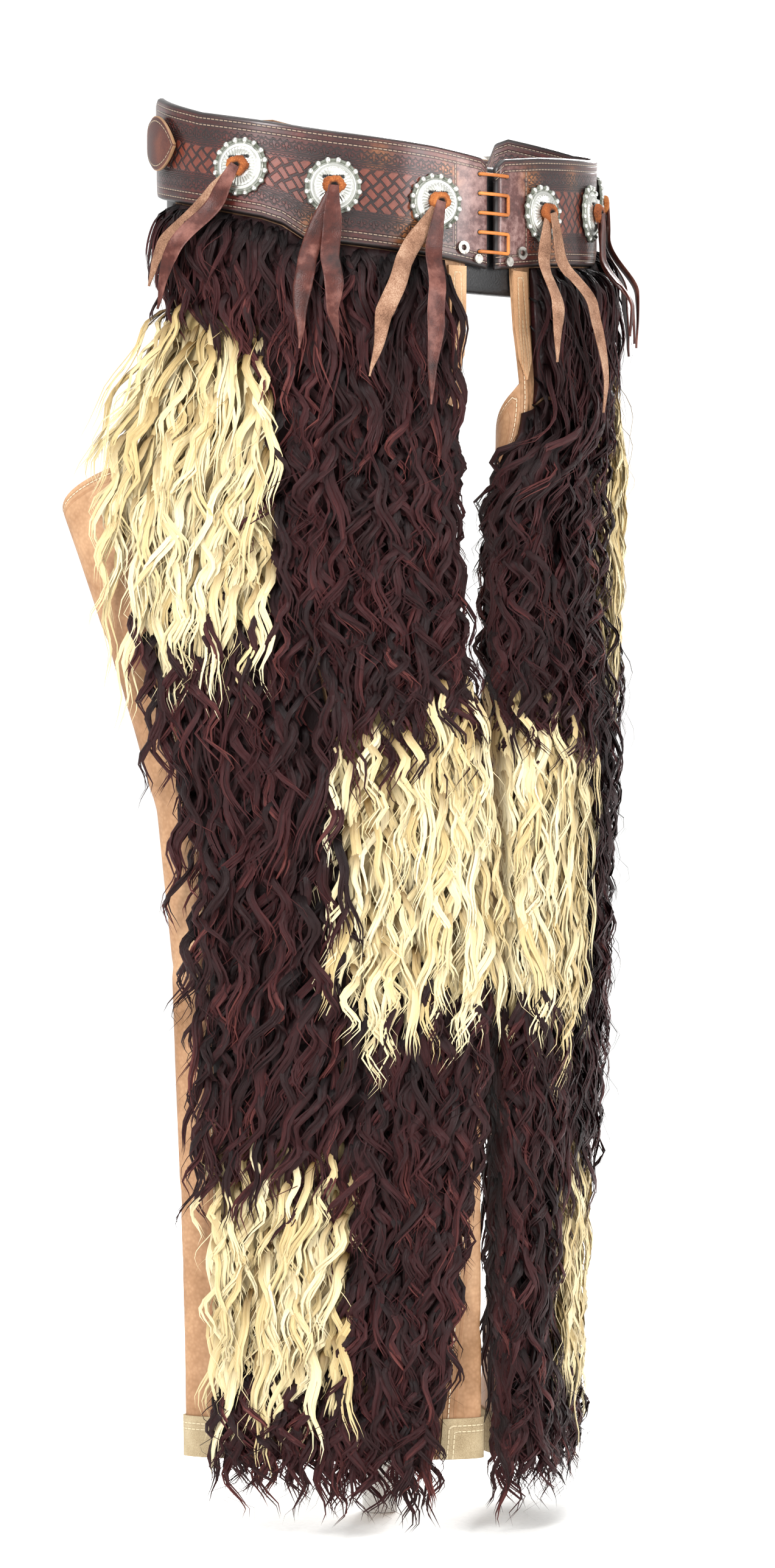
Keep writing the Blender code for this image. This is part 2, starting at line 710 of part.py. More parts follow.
def round_corners(path, reach):
    """Replace each inner corner of a path by two points a short way along its two runs."""
    made = [path[0]]
    for before, corner, after in zip(path, path[1:], path[2:]):
        for other in (before, after):
            run = other - corner
            made.append(corner + run / np.linalg.norm(run) * reach)
    made.append(path[-1])
    return np.array(made)


def make_front_fittings(side_name, materials):
    """The eyelet and the rivet beside the lace."""
    side = SIDES[side_name]
    metal = materials["buckle_metal"]
    eyelet = peg("belt_eyelet_" + side_name, EYELET_ANGLE, EYELET_HEIGHT, EYELET_RADIUS, GAP, EYELET_OUT,
                 metal, side, 12)
    bore = peg("bore_" + side_name, EYELET_ANGLE, EYELET_HEIGHT, EYELET_BORE, -THROUGH, THROUGH, metal, side, 8)
    cut(eyelet, [bore])
    peg("belt_rivet_" + side_name, RIVET_ANGLE, RIVET_HEIGHT, RIVET_RADIUS, GAP, RIVET_OUT, metal, side)


def strap_height(angle):
    """The strap climbs to the back with the belt and comes down on the other side."""
    return STRAP_HEIGHT + STRAP_SLOPE * (70.0 - np.abs(np.asarray(angle) - 180.0))


def make_strap(materials):
    """The strap across the back, sewn on at the right under a tab and buckled at the left."""
    angles = np.linspace(STRAP_FIRST, STRAP_LAST, 37)
    reach = np.ones_like(angles)
    reach[-2:] = STRAP_POINT
    heights = np.array([strap_height(angles) + STRAP_HALF_HEIGHT * reach * share for share in (-1.0, 1.0)])
    spread = np.broadcast_to(angles, heights.shape)
    strap = add_wall("back_strap", belt_point(spread, heights, STRAP_OUT + STRAP_THICK),
                     belt_point(spread, heights, STRAP_OUT), materials["belt_leather"])
    holes = []
    for place, angle in enumerate(STRAP_HOLES):
        holes.append(peg("strap_hole_%d" % place, angle, float(strap_height(angle)), STRAP_HOLE_RADIUS,
                         -THROUGH, THROUGH, materials["belt_leather"], -1.0, 8))
    cut(strap, holes)

    share = np.linspace(0.0, 1.0, 13)
    tab_angles = mix(TAB_FIRST, TAB_LAST, share)
    reach = TAB_HALF_HEIGHT * np.clip(np.sin(math.pi * share ** 0.75), 0.06, 1.0)
    heights = np.array([strap_height(tab_angles) + reach * part for part in (-1.0, 0.0, 1.0)])
    spread = np.broadcast_to(tab_angles, heights.shape)
    low = STRAP_OUT + STRAP_THICK + 0.4
    add_wall("strap_tab", belt_point(spread, heights, low + TAB_THICK),
             belt_point(spread, heights, low), materials["belt_leather"])


def make_buckle(materials):
    """A flat rectangular frame with its tongue, lying on the strap at the left."""
    low = STRAP_OUT + STRAP_THICK + 0.35
    half_high = STRAP_HALF_HEIGHT + BUCKLE_PAST_STRAP
    centre = float(strap_height(BUCKLE_ANGLE))
    loops = []
    for wide, high in ((BUCKLE_HALF_ANGLE, half_high), (BUCKLE_HALF_ANGLE - BUCKLE_BAR_ANGLE, half_high - BUCKLE_BAR)):
        corners = ((-wide, -high), (wide, -high), (wide, high), (-wide, high))
        loops.append([(BUCKLE_ANGLE + a, centre + h) for a, h in corners])
    rings = []
    for out in (low, low + BUCKLE_THICK):
        for loop in loops:
            rings.append([belt_point(a, h, out) for a, h in loop])
    outer_low, inner_low, outer_high, inner_high = (np.array(ring) for ring in rings)
    points = np.concatenate((outer_low, inner_low, inner_high, outer_high))
    faces = []
    for band in range(4):
        for place in range(4):
            a = band * 4 + place
            b = band * 4 + (place + 1) % 4
            c = ((band + 1) % 4) * 4 + (place + 1) % 4
            d = ((band + 1) % 4) * 4 + place
            faces.append((a, b, c, d))
    add_mesh("buckle_frame", points, faces, materials["buckle_metal"])
    out = low + BUCKLE_THICK + GAP + TONGUE_RADIUS
    tongue = BUCKLE_ANGLE + np.linspace(-BUCKLE_HALF_ANGLE, BUCKLE_HALF_ANGLE, 6)
    path = [belt_point(a, centre, out) for a in tongue]
    add_rings("buckle_tongue", tube_rings(path, TONGUE_RADIUS, 8), materials["buckle_metal"])


def make_concho(name, side, materials):
    """A domed disc whose edge is a ring of round berries, with a shallow ring inside them."""
    angle, height = CONCHOS[name]
    centre = belt_point(angle, height, GAP)
    normal = belt_normal(np.float64(angle))
    circle = upright_circle(normal, CONCHO_BERRIES * 2)
    berry = np.where(np.arange(CONCHO_BERRIES * 2) % 2 == 0, 1.0, 0.0)[:, None]
    rings = []
    for radius, lift, berry_reach, berry_lift in CONCHO_ROWS:
        ring = centre + circle * (radius + berry_reach * berry) + normal * (lift + berry_lift * berry)
        rings.append(ring)
    add_rings("concho_" + name, np.array(rings), materials["concho_silver"], side)


def tail_rings(leg, angles, heights, lift):
    """A flat tail that lies on the concho and the belt, then on the fleece, with a pointed tip."""
    share = np.linspace(0.0, 1.0, TAIL_RINGS)
    angle = np.interp(share, TAIL_SHARES, angles)
    height = np.interp(share, TAIL_SHARES, heights)
    for _ in range(2):
        angle[1:-1] = (angle[:-2] + 2.0 * angle[1:-1] + angle[2:]) / 4.0
        height[1:-1] = (height[:-2] + 2.0 * height[1:-1] + height[2:]) / 4.0
    panel_share = (angle - PANEL_START) / (PANEL_END - PANEL_START)
    foot = leg.front_point(height, panel_share)
    normal = surface_normal(leg.front_point, height, panel_share, 1.0)
    below = belt_value("bottom", angle) - height
    out = PANEL_DEPTH + TAIL_REST + lift + TAIL_SWELL * ease((below + TAIL_SWELL_START) / TAIL_SWELL_DROP)
    middle = foot + normal * out[:, None]
    tangent = np.gradient(middle, axis=0)
    across = np.cross(tangent, normal)
    across /= np.linalg.norm(across, axis=1, keepdims=True)
    half = STRING_WIDTH / 2.0 * np.clip((1.0 - share) / TAIL_TAPER, TAIL_TIP, 1.0)
    half = half * np.clip(TAIL_NECK + share * 1.6, 0.0, 1.0)
    side = across * half[:, None]
    thick = normal * STRING_THICK / 2.0
    return np.stack((middle - side - thick, middle + side - thick, middle + side + thick,
                     middle - side + thick), axis=1)


def make_string(name, leg, materials):
    """One leather string: a flat loop on the concho and two tails that hang from it."""
    material = materials["string_leather"]
    angle, height = CONCHOS[name]
    centre = belt_point(angle, height, GAP + LOOP_REST)
    normal = belt_normal(np.float64(angle))
    circle = upright_circle(normal, LOOP_SIDES) * LOOP_HALF_WIDE
    circle[:, 2] *= LOOP_HALF_HIGH / LOOP_HALF_WIDE
    rings = np.array([centre + normal * lift + circle * size for lift, size in LOOP_ROWS])
    loop = add_rings("string_" + name, rings, material, leg.side)
    extra = []
    for place, tail in enumerate(TAILS[name]):
        rings = tail_rings(leg, *tail, place * TAIL_STACK)
        extra.append(add_rings("tail_%s_%d" % (name, place), rings, material, leg.side))
    join_by_union(loop, extra)


def make_panels(leg, materials):
    """The front and back leather of one leg, the cuff and the bound inner edge."""
    for name, sheet in (("leg_front_", leg.front), ("leg_back_", leg.back)):
        points, normals = sheet[1], sheet[2]
        add_wall(name + leg.side_name, points, points - normals * LEATHER, materials["chap_leather"], leg.side)

    columns = np.arange(BACK_COLUMNS + 1)
    heights = np.broadcast_to(np.array((0.0, CUFF_HEIGHT))[:, None], (2, BACK_COLUMNS + 1))
    low = np.full(heights.shape, GAP)
    add_wall("cuff_" + leg.side_name, on_sheet(leg.back, columns, heights, low + CUFF_THICK),
             on_sheet(leg.back, columns, heights, low), materials["cuff_leather"], leg.side)

    columns = np.array((0.0, EDGE_STRIP_COLUMNS))
    upper = belt_value("bottom", PANEL_START) - FLEECE_TOP_GAP
    levels = (EDGE_STRIP_LOW, leg.front[0][-2, 0], upper)
    heights = np.array([(level, level) for level in levels])
    low = np.full(heights.shape, GAP)
    add_wall("edge_strip_" + leg.side_name, on_sheet(leg.front, columns, heights, low + EDGE_STRIP_THICK),
             on_sheet(leg.front, columns, heights, low), materials["chap_leather"], leg.side)


def edge_height(name, column):
    """A border between patches: it slopes outwards, and swings up and down as pointed locks do."""
    inner, outer, swing = EDGES[name]
    slope = mix(inner, outer, column / FRONT_COLUMNS)
    wave = np.cos(math.pi * column) * (0.7 + 0.3 * np.sin(2.3 * column))
    return slope + swing * wave * np.clip(column / SWING_START, 0.1, 1.0)


def rows_between(levels, bottom, top):
    """A patch's rows of corners: its borders, and the panel's own levels where they pass through it.

    A level that leaves the patch at some columns runs on there beside the border.
    """
    low = bottom + BORDER_ROW
    lowest = low + BORDER_STEP
    highest = top - BORDER_STEP * 3.0
    rows = [bottom, low]
    for level in levels:
        if np.any((level > lowest) & (level < highest)):
            inside = np.clip(level, lowest, highest)
            rows.append(inside + (level - inside) * BORDER_CREEP)
    rows.append(top)
    return np.array(rows)


def make_fleece(leg, materials):
    """The patches of hair, each on the leather's own corners, moved out."""
    belt_edge = belt_value("bottom", mix(PANEL_START, PANEL_END, np.arange(FRONT_COLUMNS + 1) / FRONT_COLUMNS))
    for name, first, last, upper, lower, thin, thick, colour in PATCHES:
        whole = np.arange(first, last + 1)
        columns = whole.astype(float)
        columns[0] += SIDE_INSET
        columns[-1] -= SIDE_INSET
        top = belt_edge[whole] - FLEECE_TOP_GAP if upper == "belt" else edge_height(upper, whole) - FLEECE_SEAM
        bottom = edge_height(lower, whole)
        heights = rows_between(leg.front[0][:, whole], bottom, top)
        share = (top - heights) / (top - bottom)
        if upper == "belt":
            share = ease((top - heights) / HIP_SWELL)
        body = mix(thin, thick, share)
        body[0] *= TIP_THIN
        relief = LOCK_RELIEF * np.where(whole % 2 == 0, 1.0, -1.0)
        body = body + relief[None, :] * np.clip(share * 2.0, 0.15, 1.0)
        if last == FRONT_COLUMNS:
            body[:, -1] *= OUTER_THIN
        if first <= HIP_FIRST:
            body[:, 0] *= INNER_THIN
        low = np.full(heights.shape, FLEECE_GAP)
        foot = on_sheet(leg.front, columns, heights, low)
        reach = on_sheet(leg.front, columns, heights, low + 1.0) - foot
        body = leg.clear_of_middle(foot, reach, heights, body)
        add_wall(name + "_" + leg.side_name, foot + reach * body[..., None], foot, materials[colour], leg.side)


def make_hem_locks(leg, materials):
    """A narrow strip along the front of the hem, whose lower edge runs out into hanging locks."""
    count = (FRONT_COLUMNS - LEG_FIRST) * LOCKS_PER_COLUMN
    columns = np.linspace(LEG_FIRST + LOCK_INSET, FRONT_COLUMNS - LOCK_INSET, count + 1)
    border = np.interp(columns, np.arange(FRONT_COLUMNS + 1), edge_height("hem", np.arange(FRONT_COLUMNS + 1)))
    heights = np.array((np.full_like(columns, STRIP_LOW), border - FLEECE_SEAM))
    thick = np.full(heights.shape, STRIP_THICK)
    thick[:, :LOCKS_PER_COLUMN + 1] *= INNER_THIN
    thick[:, -LOCKS_PER_COLUMN - 1:] *= OUTER_THIN
    low = np.full(heights.shape, FLEECE_GAP)
    foot = on_sheet(leg.front, columns, heights, low)
    reach = on_sheet(leg.front, columns, heights, low + 1.0) - foot
    outer = foot + reach * leg.clear_of_middle(foot, reach, heights, thick)[..., None]
    rows, width = heights.shape
    total = rows * width
    points = [*outer.reshape(-1, 3), *foot.reshape(-1, 3)]
    faces = grid_faces(rows, width, 0, False) + grid_faces(rows, width, total, True)
    faces += rim_faces(rows, width, total, skip_first_row=True)
    up = np.array((0.0, 0.0, 1.0))
    for place in range(count):
        roots = (place, place + 1, place + 1 + total, place + total)
        corners = np.array([points[root] for root in roots])
        centre = corners.mean(axis=0)
        lean = reach[0, place] * np.array((1.0, 1.0, 0.0))
        drop = STRIP_LOW - LOCK_MIDDLE
        middle = centre + (corners - centre) * LOCK_MIDDLE_SIZE - up * drop + lean * LOCK_LEAN
        tip_height = LOCK_TIP + LOCK_TIP_SWING * math.sin(1.9 * place) * math.cos(0.7 * place)
        tip_lean = LOCK_LEAN * (0.7 + 1.3 * math.sin(2.7 * place))
        tip = centre - up * (STRIP_LOW - tip_height) + lean * tip_lean
        first = len(points)
        points.extend(middle)
        points.append(tip)
        for corner in range(4):
            after = (corner + 1) % 4
            faces.append((roots[corner], roots[after], first + after, first + corner))
            faces.append((first + corner, first + after, first + 4))
    add_mesh("hem_locks_" + leg.side_name, np.array(points), faces, materials["dark_fleece"], leg.side)


def main():
    clear_scene()
    materials = make_materials()
    make_stand(materials)
    legs = {side_name: Leg(side_name) for side_name in SIDES}
    for side_name, leg in legs.items():
        make_belt(side_name, materials)
        make_front_fittings(side_name, materials)
        make_panels(leg, materials)
        make_fleece(leg, materials)
        make_hem_locks(leg, materials)
    for name in CONCHOS:
        leg = legs[name.split("_")[0]]
        make_concho(name, leg.side, materials)
        make_string(name, leg, materials)
    make_lace(materials)
    make_strap(materials)
    make_buckle(materials)


main()
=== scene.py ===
"""Looks of the woolly leather chaps on their hip form.

Shapes are worked out in millimetres for the right side, with x counted outwards from the
middle, and are mirrored for the left side. Heights are counted up from the leather's hem.
"""
import math

import bpy
import numpy as np
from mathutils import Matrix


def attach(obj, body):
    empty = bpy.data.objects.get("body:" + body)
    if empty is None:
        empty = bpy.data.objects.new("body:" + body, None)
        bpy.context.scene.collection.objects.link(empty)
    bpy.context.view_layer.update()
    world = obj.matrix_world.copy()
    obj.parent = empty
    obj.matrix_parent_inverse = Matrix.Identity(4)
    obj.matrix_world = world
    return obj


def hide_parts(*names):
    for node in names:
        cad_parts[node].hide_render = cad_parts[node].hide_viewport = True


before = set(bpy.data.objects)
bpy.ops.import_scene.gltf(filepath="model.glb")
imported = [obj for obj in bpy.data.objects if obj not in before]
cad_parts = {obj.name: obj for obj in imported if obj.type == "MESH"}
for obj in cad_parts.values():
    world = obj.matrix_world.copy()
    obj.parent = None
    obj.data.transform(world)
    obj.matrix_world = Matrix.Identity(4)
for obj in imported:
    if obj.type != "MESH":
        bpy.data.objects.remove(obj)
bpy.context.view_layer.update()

METRE = 0.001
UP = np.array((0.0, 0.0, 1.0))
SIDES = {"right": -1.0, "left": 1.0}

# The photograph's view: the camera looks level from the front right.
IMAGE_HEIGHT_PX = 2576
IMAGE_WIDTH_PX = 1273
AXIS_PX = 624.0
VIEW_DISTANCE = 3.2
VIEW_HEIGHT = 0.526
VIEW_AZIMUTH = math.radians(39.0)
FRAME_TALL = 1.118
SENSOR = 36.0

# The garment's hem above the floor, and the belt's outer ellipse.
HEM = 62.0
GAP = 0.3
BELT_A = 175.0
BELT_B = 125.0
BELT_THICK = 4.5
BELT_START = 1.1
BELT_END = 119.0
PANEL_DEPTH = 5.0
BELT_COLUMNS = ("angle", "top", "bottom")
BELT_ROWS = (
    (0.0, 885.0, 820.0),
    (1.5, 892.0, 820.0),
    (3.5, 897.0, 821.0),
    (16.0, 902.0, 826.0),
    (42.0, 909.0, 833.0),
    (49.0, 911.5, 835.0),
    (55.0, 914.0, 845.0),
    (61.0, 916.5, 850.0),
    (82.0, 925.0, 860.0),
    (112.0, 943.0, 873.0),
    (116.5, 940.0, 878.0),
    (119.0, 926.0, 892.0),
)

# One row for each level of the leg, as in the solids.
LEG_COLUMNS = ("height", "width", "front_depth", "back_depth", "seam_out", "belt_share")
LEG_ROWS = (
    (0.0, 204.0, 20.0, 30.0, 0.86, 0.0),
    (80.0, 205.0, 21.0, 26.0, 0.86, 0.0),
    (163.0, 207.0, 25.0, 20.0, 0.86, 0.0),
    (272.0, 211.0, 31.0, 15.0, 0.86, 0.0),
    (348.0, 214.0, 35.0, 13.0, 0.86, 0.0),
    (440.0, 223.0, 39.0, 12.0, 0.86, 0.0),
    (500.0, 238.0, 41.0, 12.0, 0.86, 0.0),
    (541.0, 249.0, 41.0, 12.0, 0.85, 0.0),
    (588.0, 264.0, 41.0, 13.0, 0.84, 0.0),
    (620.0, 274.0, 41.0, 14.0, 0.82, 0.0),
    (653.0, 285.0, 41.0, 15.0, 0.80, 0.0),
    (690.0, 285.0, 41.0, 16.0, 0.79, 0.03),
    (716.0, 285.0, 41.0, 17.0, 0.77, 0.22),
    (743.0, 285.0, 41.0, 18.0, 0.75, 0.50),
    (781.0, 285.0, 41.0, 18.0, 0.68, 0.84),
    (820.0, 285.0, 41.0, 18.0, 0.60, 1.0),
    (960.0, 285.0, 41.0, 18.0, 0.60, 1.0),
)
INNER_COLUMNS = ("height", "inner_x", "start", "seam_in", "hair_x")
INNER_ROWS = {
    "right": (
        (0.0, 12.0, 0.0, 0.14, 2.0),
        (80.0, 12.0, 0.0, 0.11, 2.0),
        (163.0, 12.5, 0.0, 0.07, 2.0),
        (272.0, 13.0, 0.0, 0.03, 2.0),
        (348.0, 12.5, 0.0, 0.012, 2.0),
        (440.0, 13.0, 0.0, 0.01, 2.0),
        (500.0, 14.0, 3.0, 0.01, 4.0),
        (541.0, 16.0, 9.0, 0.01, 12.0),
        (588.0, 16.5, 15.0, 0.01, 16.0),
        (653.0, 18.0, 17.0, 0.01, 16.0),
        (690.0, 20.0, 13.0, 0.01, 14.0),
        (743.0, 25.0, 4.0, 0.01, 8.0),
        (781.0, 25.0, 0.0, 0.01, 4.0),
        (960.0, 25.0, 0.0, 0.01, 4.0),
    ),
    "left": (
        (0.0, 10.0, 0.0, -0.02, 1.0),
        (163.0, 10.5, 0.0, -0.025, 1.0),
        (272.0, 11.0, 0.0, -0.03, 1.0),
        (500.0, 12.0, 0.0, -0.03, 1.0),
        (541.0, 11.0, 0.0, -0.03, -2.0),
        (588.0, 10.0, 0.0, -0.03, -6.0),
        (620.0, 10.5, 0.0, -0.025, -6.0),
        (653.0, 11.0, 0.0, -0.015, -6.0),
        (690.0, 14.0, 0.0, -0.002, -4.0),
        (743.0, 22.0, 0.0, 0.01, 0.0),
        (781.0, 25.0, 0.0, 0.01, 4.0),
        (960.0, 25.0, 0.0, 0.01, 4.0),
    ),
}
INNER_Y = -126.0
LEG_TURN = math.radians(42.0)
ALONG = (math.cos(LEG_TURN), math.sin(LEG_TURN))
OUTWARD = (math.sin(LEG_TURN), -math.cos(LEG_TURN))
PANEL_START = 7.0
PANEL_END = 98.0
PANEL_TUCK = 18.0
LEATHER = 2.0
BACK_SEAM = 0.0012
BACK_TOP_COLUMNS = ("share", "height")
BACK_TOP_ROWS = (
    (0.0, 743.0),
    (0.2, 705.0),
    (0.41, 650.0),
    (0.62, 634.0),
    (0.78, 653.0),
    (1.0, 688.0),
)


def table(columns, rows):
    return {name: np.array([row[place] for row in rows]) for place, name in enumerate(columns)}


BELT = table(BELT_COLUMNS, BELT_ROWS)
LEG = table(LEG_COLUMNS, LEG_ROWS)
BACK_TOP = table(BACK_TOP_COLUMNS, BACK_TOP_ROWS)


def mix(first, second, share):
    return first + (second - first) * share


def ease(share):
    share = np.clip(share, 0.0, 1.0)
    return share * share * (3.0 - 2.0 * share)


def belt_value(name, angle):
    return np.interp(angle, BELT["angle"], BELT[name])


def unit(vectors):
    return vectors / np.maximum(np.linalg.norm(vectors, axis=-1, keepdims=True), 1e-9)


def belt_normal(angle):
    turn = np.radians(angle)
    return unit(np.stack((np.sin(turn) / BELT_A, -np.cos(turn) / BELT_B, 0.0 * turn), axis=-1))


def belt_point(angle, height, out):
    """The belt's ellipse at an angle and a height, moved outwards along its normal."""
    angle, height, out = np.broadcast_arrays(*(np.asarray(v, dtype=float) for v in (angle, height, out)))
    turn = np.radians(angle)
    ring = np.stack((BELT_A * np.sin(turn), -BELT_B * np.cos(turn), HEM + height), axis=-1)
    return ring + belt_normal(angle) * out[..., None]


class Leg:
    """One leg's surfaces, from the common table and its own side's table of the inner edge."""

    def __init__(self, side_name):
        self.side_name = side_name
        self.side = SIDES[side_name]
        self.inner = table(INNER_COLUMNS, INNER_ROWS[side_name])

    def value(self, name, height):
        rows = LEG if name in LEG_COLUMNS else self.inner
        return np.interp(height, rows["height"], rows[name])

    def seam_turn(self, name, height):
        share = self.value(name, height)
        return np.copysign(np.arccos(1.0 - 2.0 * np.abs(share)), share)

    def tube_point(self, height, turn):
        """Half an ellipse in front and a flatter half round behind, on the leg's broad line."""
        start = self.value("start", height)
        along = start + (self.value("width", height) - start) * (1.0 - np.cos(turn)) / 2.0
        front = self.value("front_depth", height)
        back = self.value("back_depth", height)
        swell = np.sin(turn)
        flat = 1.0 - (1.0 - np.clip(-swell, 0.0, 1.0)) ** np.maximum(front / back, 1.0)
        depth = np.where(swell > 0.0, front * swell, -back * flat)
        x = self.value("inner_x", height) + ALONG[0] * along + OUTWARD[0] * depth
        y = INNER_Y + ALONG[1] * along + OUTWARD[1] * depth
        return np.stack((x, y, HEM + height + 0.0 * turn), axis=-1)

    def front_point(self, height, share):
        """The front panel from its inner seam to its outer one, turning from the leg to the belt.

        Below the hem it goes straight down.
        """
        level = np.maximum(height, 0.0)
        turn = mix(self.seam_turn("seam_in", level), self.seam_turn("seam_out", level), share)
        on_belt = belt_point(mix(PANEL_START, PANEL_END, share), level, -PANEL_DEPTH)
        point = mix(self.tube_point(level, turn), on_belt, self.value("belt_share", level)[..., None])
        return point + (height - level)[..., None] * UP

    def back_point(self, height, share):
        """The back panel from the inner seam round the back to the outer one."""
        first = self.seam_turn("seam_in", height)
        last = self.seam_turn("seam_out", height)
        base = self.tube_point(height, mix(first, last - 2.0 * math.pi, share))
        inner_shift = self.front_point(height, 0.0 * share) - self.tube_point(height, first)
        outer_shift = self.front_point(height, 1.0 + 0.0 * share) - self.tube_point(height, last)
        return base + inner_shift * ((1.0 - share) ** 2)[..., None] + outer_shift * (share ** 2)[..., None]


def surface_frame(surface, height, share, sign=1.0):
    """A surface's points, outward normals and sideways directions."""
    step = 2e-3
    rise = 2.0
    across = unit(surface(height, share + step) - surface(height, share - step))
    upwards = surface(height + rise, share) - surface(height - rise, share)
    return surface(height, share), unit(np.cross(across, upwards)) * sign, across


def make_object(name, points, quads, triangles, material, side=-1.0, uv=None, attributes=None):
    """Put arrays of points and faces into a mesh, mirrored to its side of the body.

    uv holds one pair for each corner of each face, quads first.
    """
    placed = np.array(points, dtype=np.float32).reshape(-1, 3) * METRE
    placed[:, 0] *= side
    quads = np.array(quads, dtype=np.int32).reshape(-1, 4)
    triangles = np.array(triangles, dtype=np.int32).reshape(-1, 3)
    if side < 0.0:
        quads = quads[:, ::-1]
        triangles = triangles[:, ::-1]
    corners = np.concatenate((quads.ravel(), triangles.ravel()))
    starts = np.concatenate((np.arange(len(quads)) * 4, 4 * len(quads) + np.arange(len(triangles)) * 3))
    mesh = bpy.data.meshes.new(name)
    mesh.vertices.add(len(placed))
    mesh.vertices.foreach_set("co", placed.ravel())
    mesh.loops.add(len(corners))
    mesh.loops.foreach_set("vertex_index", corners)
    mesh.polygons.add(len(starts))
    mesh.polygons.foreach_set("loop_start", starts.astype(np.int32))
    mesh.update(calc_edges=True)
    if uv is not None:
        quad_uv = np.asarray(uv[0], dtype=np.float32).reshape(-1, 4, 2)
        triangle_uv = np.asarray(uv[1], dtype=np.float32).reshape(-1, 3, 2)
        if side < 0.0:
            quad_uv = quad_uv[:, ::-1]
            triangle_uv = triangle_uv[:, ::-1]
        layer = mesh.uv_layers.new(name="surface")
        layer.data.foreach_set("uv", np.concatenate((quad_uv.ravel(), triangle_uv.ravel())))
    for key, values in (attributes or {}).items():
        layer = mesh.attributes.new(key, "FLOAT", "POINT")
        layer.data.foreach_set("value", np.asarray(values, dtype=np.float32).ravel())
    mesh.shade_smooth()
    mesh.materials.append(material)
    made = bpy.data.objects.new(name, mesh)
    bpy.context.scene.collection.objects.link(made)
    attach(made, "root")
    return made


def finish_piece(made, slot, *nodes):
    if nodes:
        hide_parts(*nodes)


def loop_skin(rows, count, start=0):
    """Faces that join a row of closed loops of points, and flat fans over its two ends."""
    row = np.arange(rows - 1)[:, None] * count
    column = np.arange(count)[None, :]
    after = (column + 1) % count
    quads = np.stack((row + column, row + after, row + count + after, row + count + column), axis=-1)
    fan = np.arange(1, count - 1)
    last = (rows - 1) * count
    ends = np.concatenate((np.stack((0 * fan, fan + 1, fan), axis=-1),
                           np.stack((last + 0 * fan, last + fan, last + fan + 1), axis=-1)))
    return quads.reshape(-1, 4) + start, ends + start


def sweep(name, strips, material, side=-1.0, attributes=None, sharp=40.0):
    """One mesh of one or more closed skins, each a row of closed loops of points."""
    points, quads, ends = [], [], []
    start = 0
    for loops in strips:
        rows, count = loops.shape[:2]
        skin, caps = loop_skin(rows, count, start)
        points.append(loops.reshape(-1, 3))
        quads.append(skin)
        ends.append(caps)
        start += rows * count
    made = make_object(name, np.concatenate(points), np.concatenate(quads), np.concatenate(ends),
                       material, side, None, attributes)
    made.data.set_sharp_from_angle(angle=math.radians(sharp))
    return made


def wall_faces(rows, columns):
    """Faces of a closed wall: a front grid, a back grid that follows it, and the rim between them."""
    count = rows * columns
    row = np.arange(rows - 1)[:, None] * columns
    column = np.arange(columns - 1)[None, :]
    a = row + column
    front = np.stack((a, a + 1, a + columns + 1, a + columns), axis=-1).reshape(-1, 4)
    border = np.concatenate((
        np.arange(columns), np.arange(1, rows) * columns + columns - 1,
        (rows - 1) * columns + np.arange(columns - 2, -1, -1), np.arange(rows - 2, 0, -1) * columns,
    ))
    after = np.roll(border, -1)
    rim = np.stack((border, border + count, after + count, after), axis=-1)
    return np.concatenate((front, front[:, ::-1] + count, rim))


def wall(name, outer, inner, material, side=-1.0, attributes=None):
    """Close an outer and an inner grid of points into one thin wall."""
    rows, columns = outer.shape[:2]
    both = {key: np.tile(np.broadcast_to(values, (rows, columns)).ravel(), 2)
            for key, values in (attributes or {}).items()}
    points = np.concatenate((outer.reshape(-1, 3), inner.reshape(-1, 3)))
    made = make_object(name, points, wall_faces(rows, columns), [], material, side, None, both)
    made.data.set_sharp_from_angle(angle=math.radians(50.0))
    return made


class Wire:
    """A shader socket that takes part in sums."""

    def __init__(self, paint, socket):
        self.paint = paint
        self.socket = socket

    def __add__(self, other):
        return self.paint.math("ADD", self, other)

    def __radd__(self, other):
        return self.paint.math("ADD", other, self)

    def __sub__(self, other):
        return self.paint.math("SUBTRACT", self, other)

    def __rsub__(self, other):
        return self.paint.math("SUBTRACT", other, self)

    def __mul__(self, other):
        return self.paint.math("MULTIPLY", self, other)

    def __rmul__(self, other):
        return self.paint.math("MULTIPLY", other, self)

    def __truediv__(self, other):
        return self.paint.math("DIVIDE", self, other)

    def __pow__(self, other):
        return self.paint.math("POWER", self, other)

    def __abs__(self):
        return self.paint.math("ABSOLUTE", self)


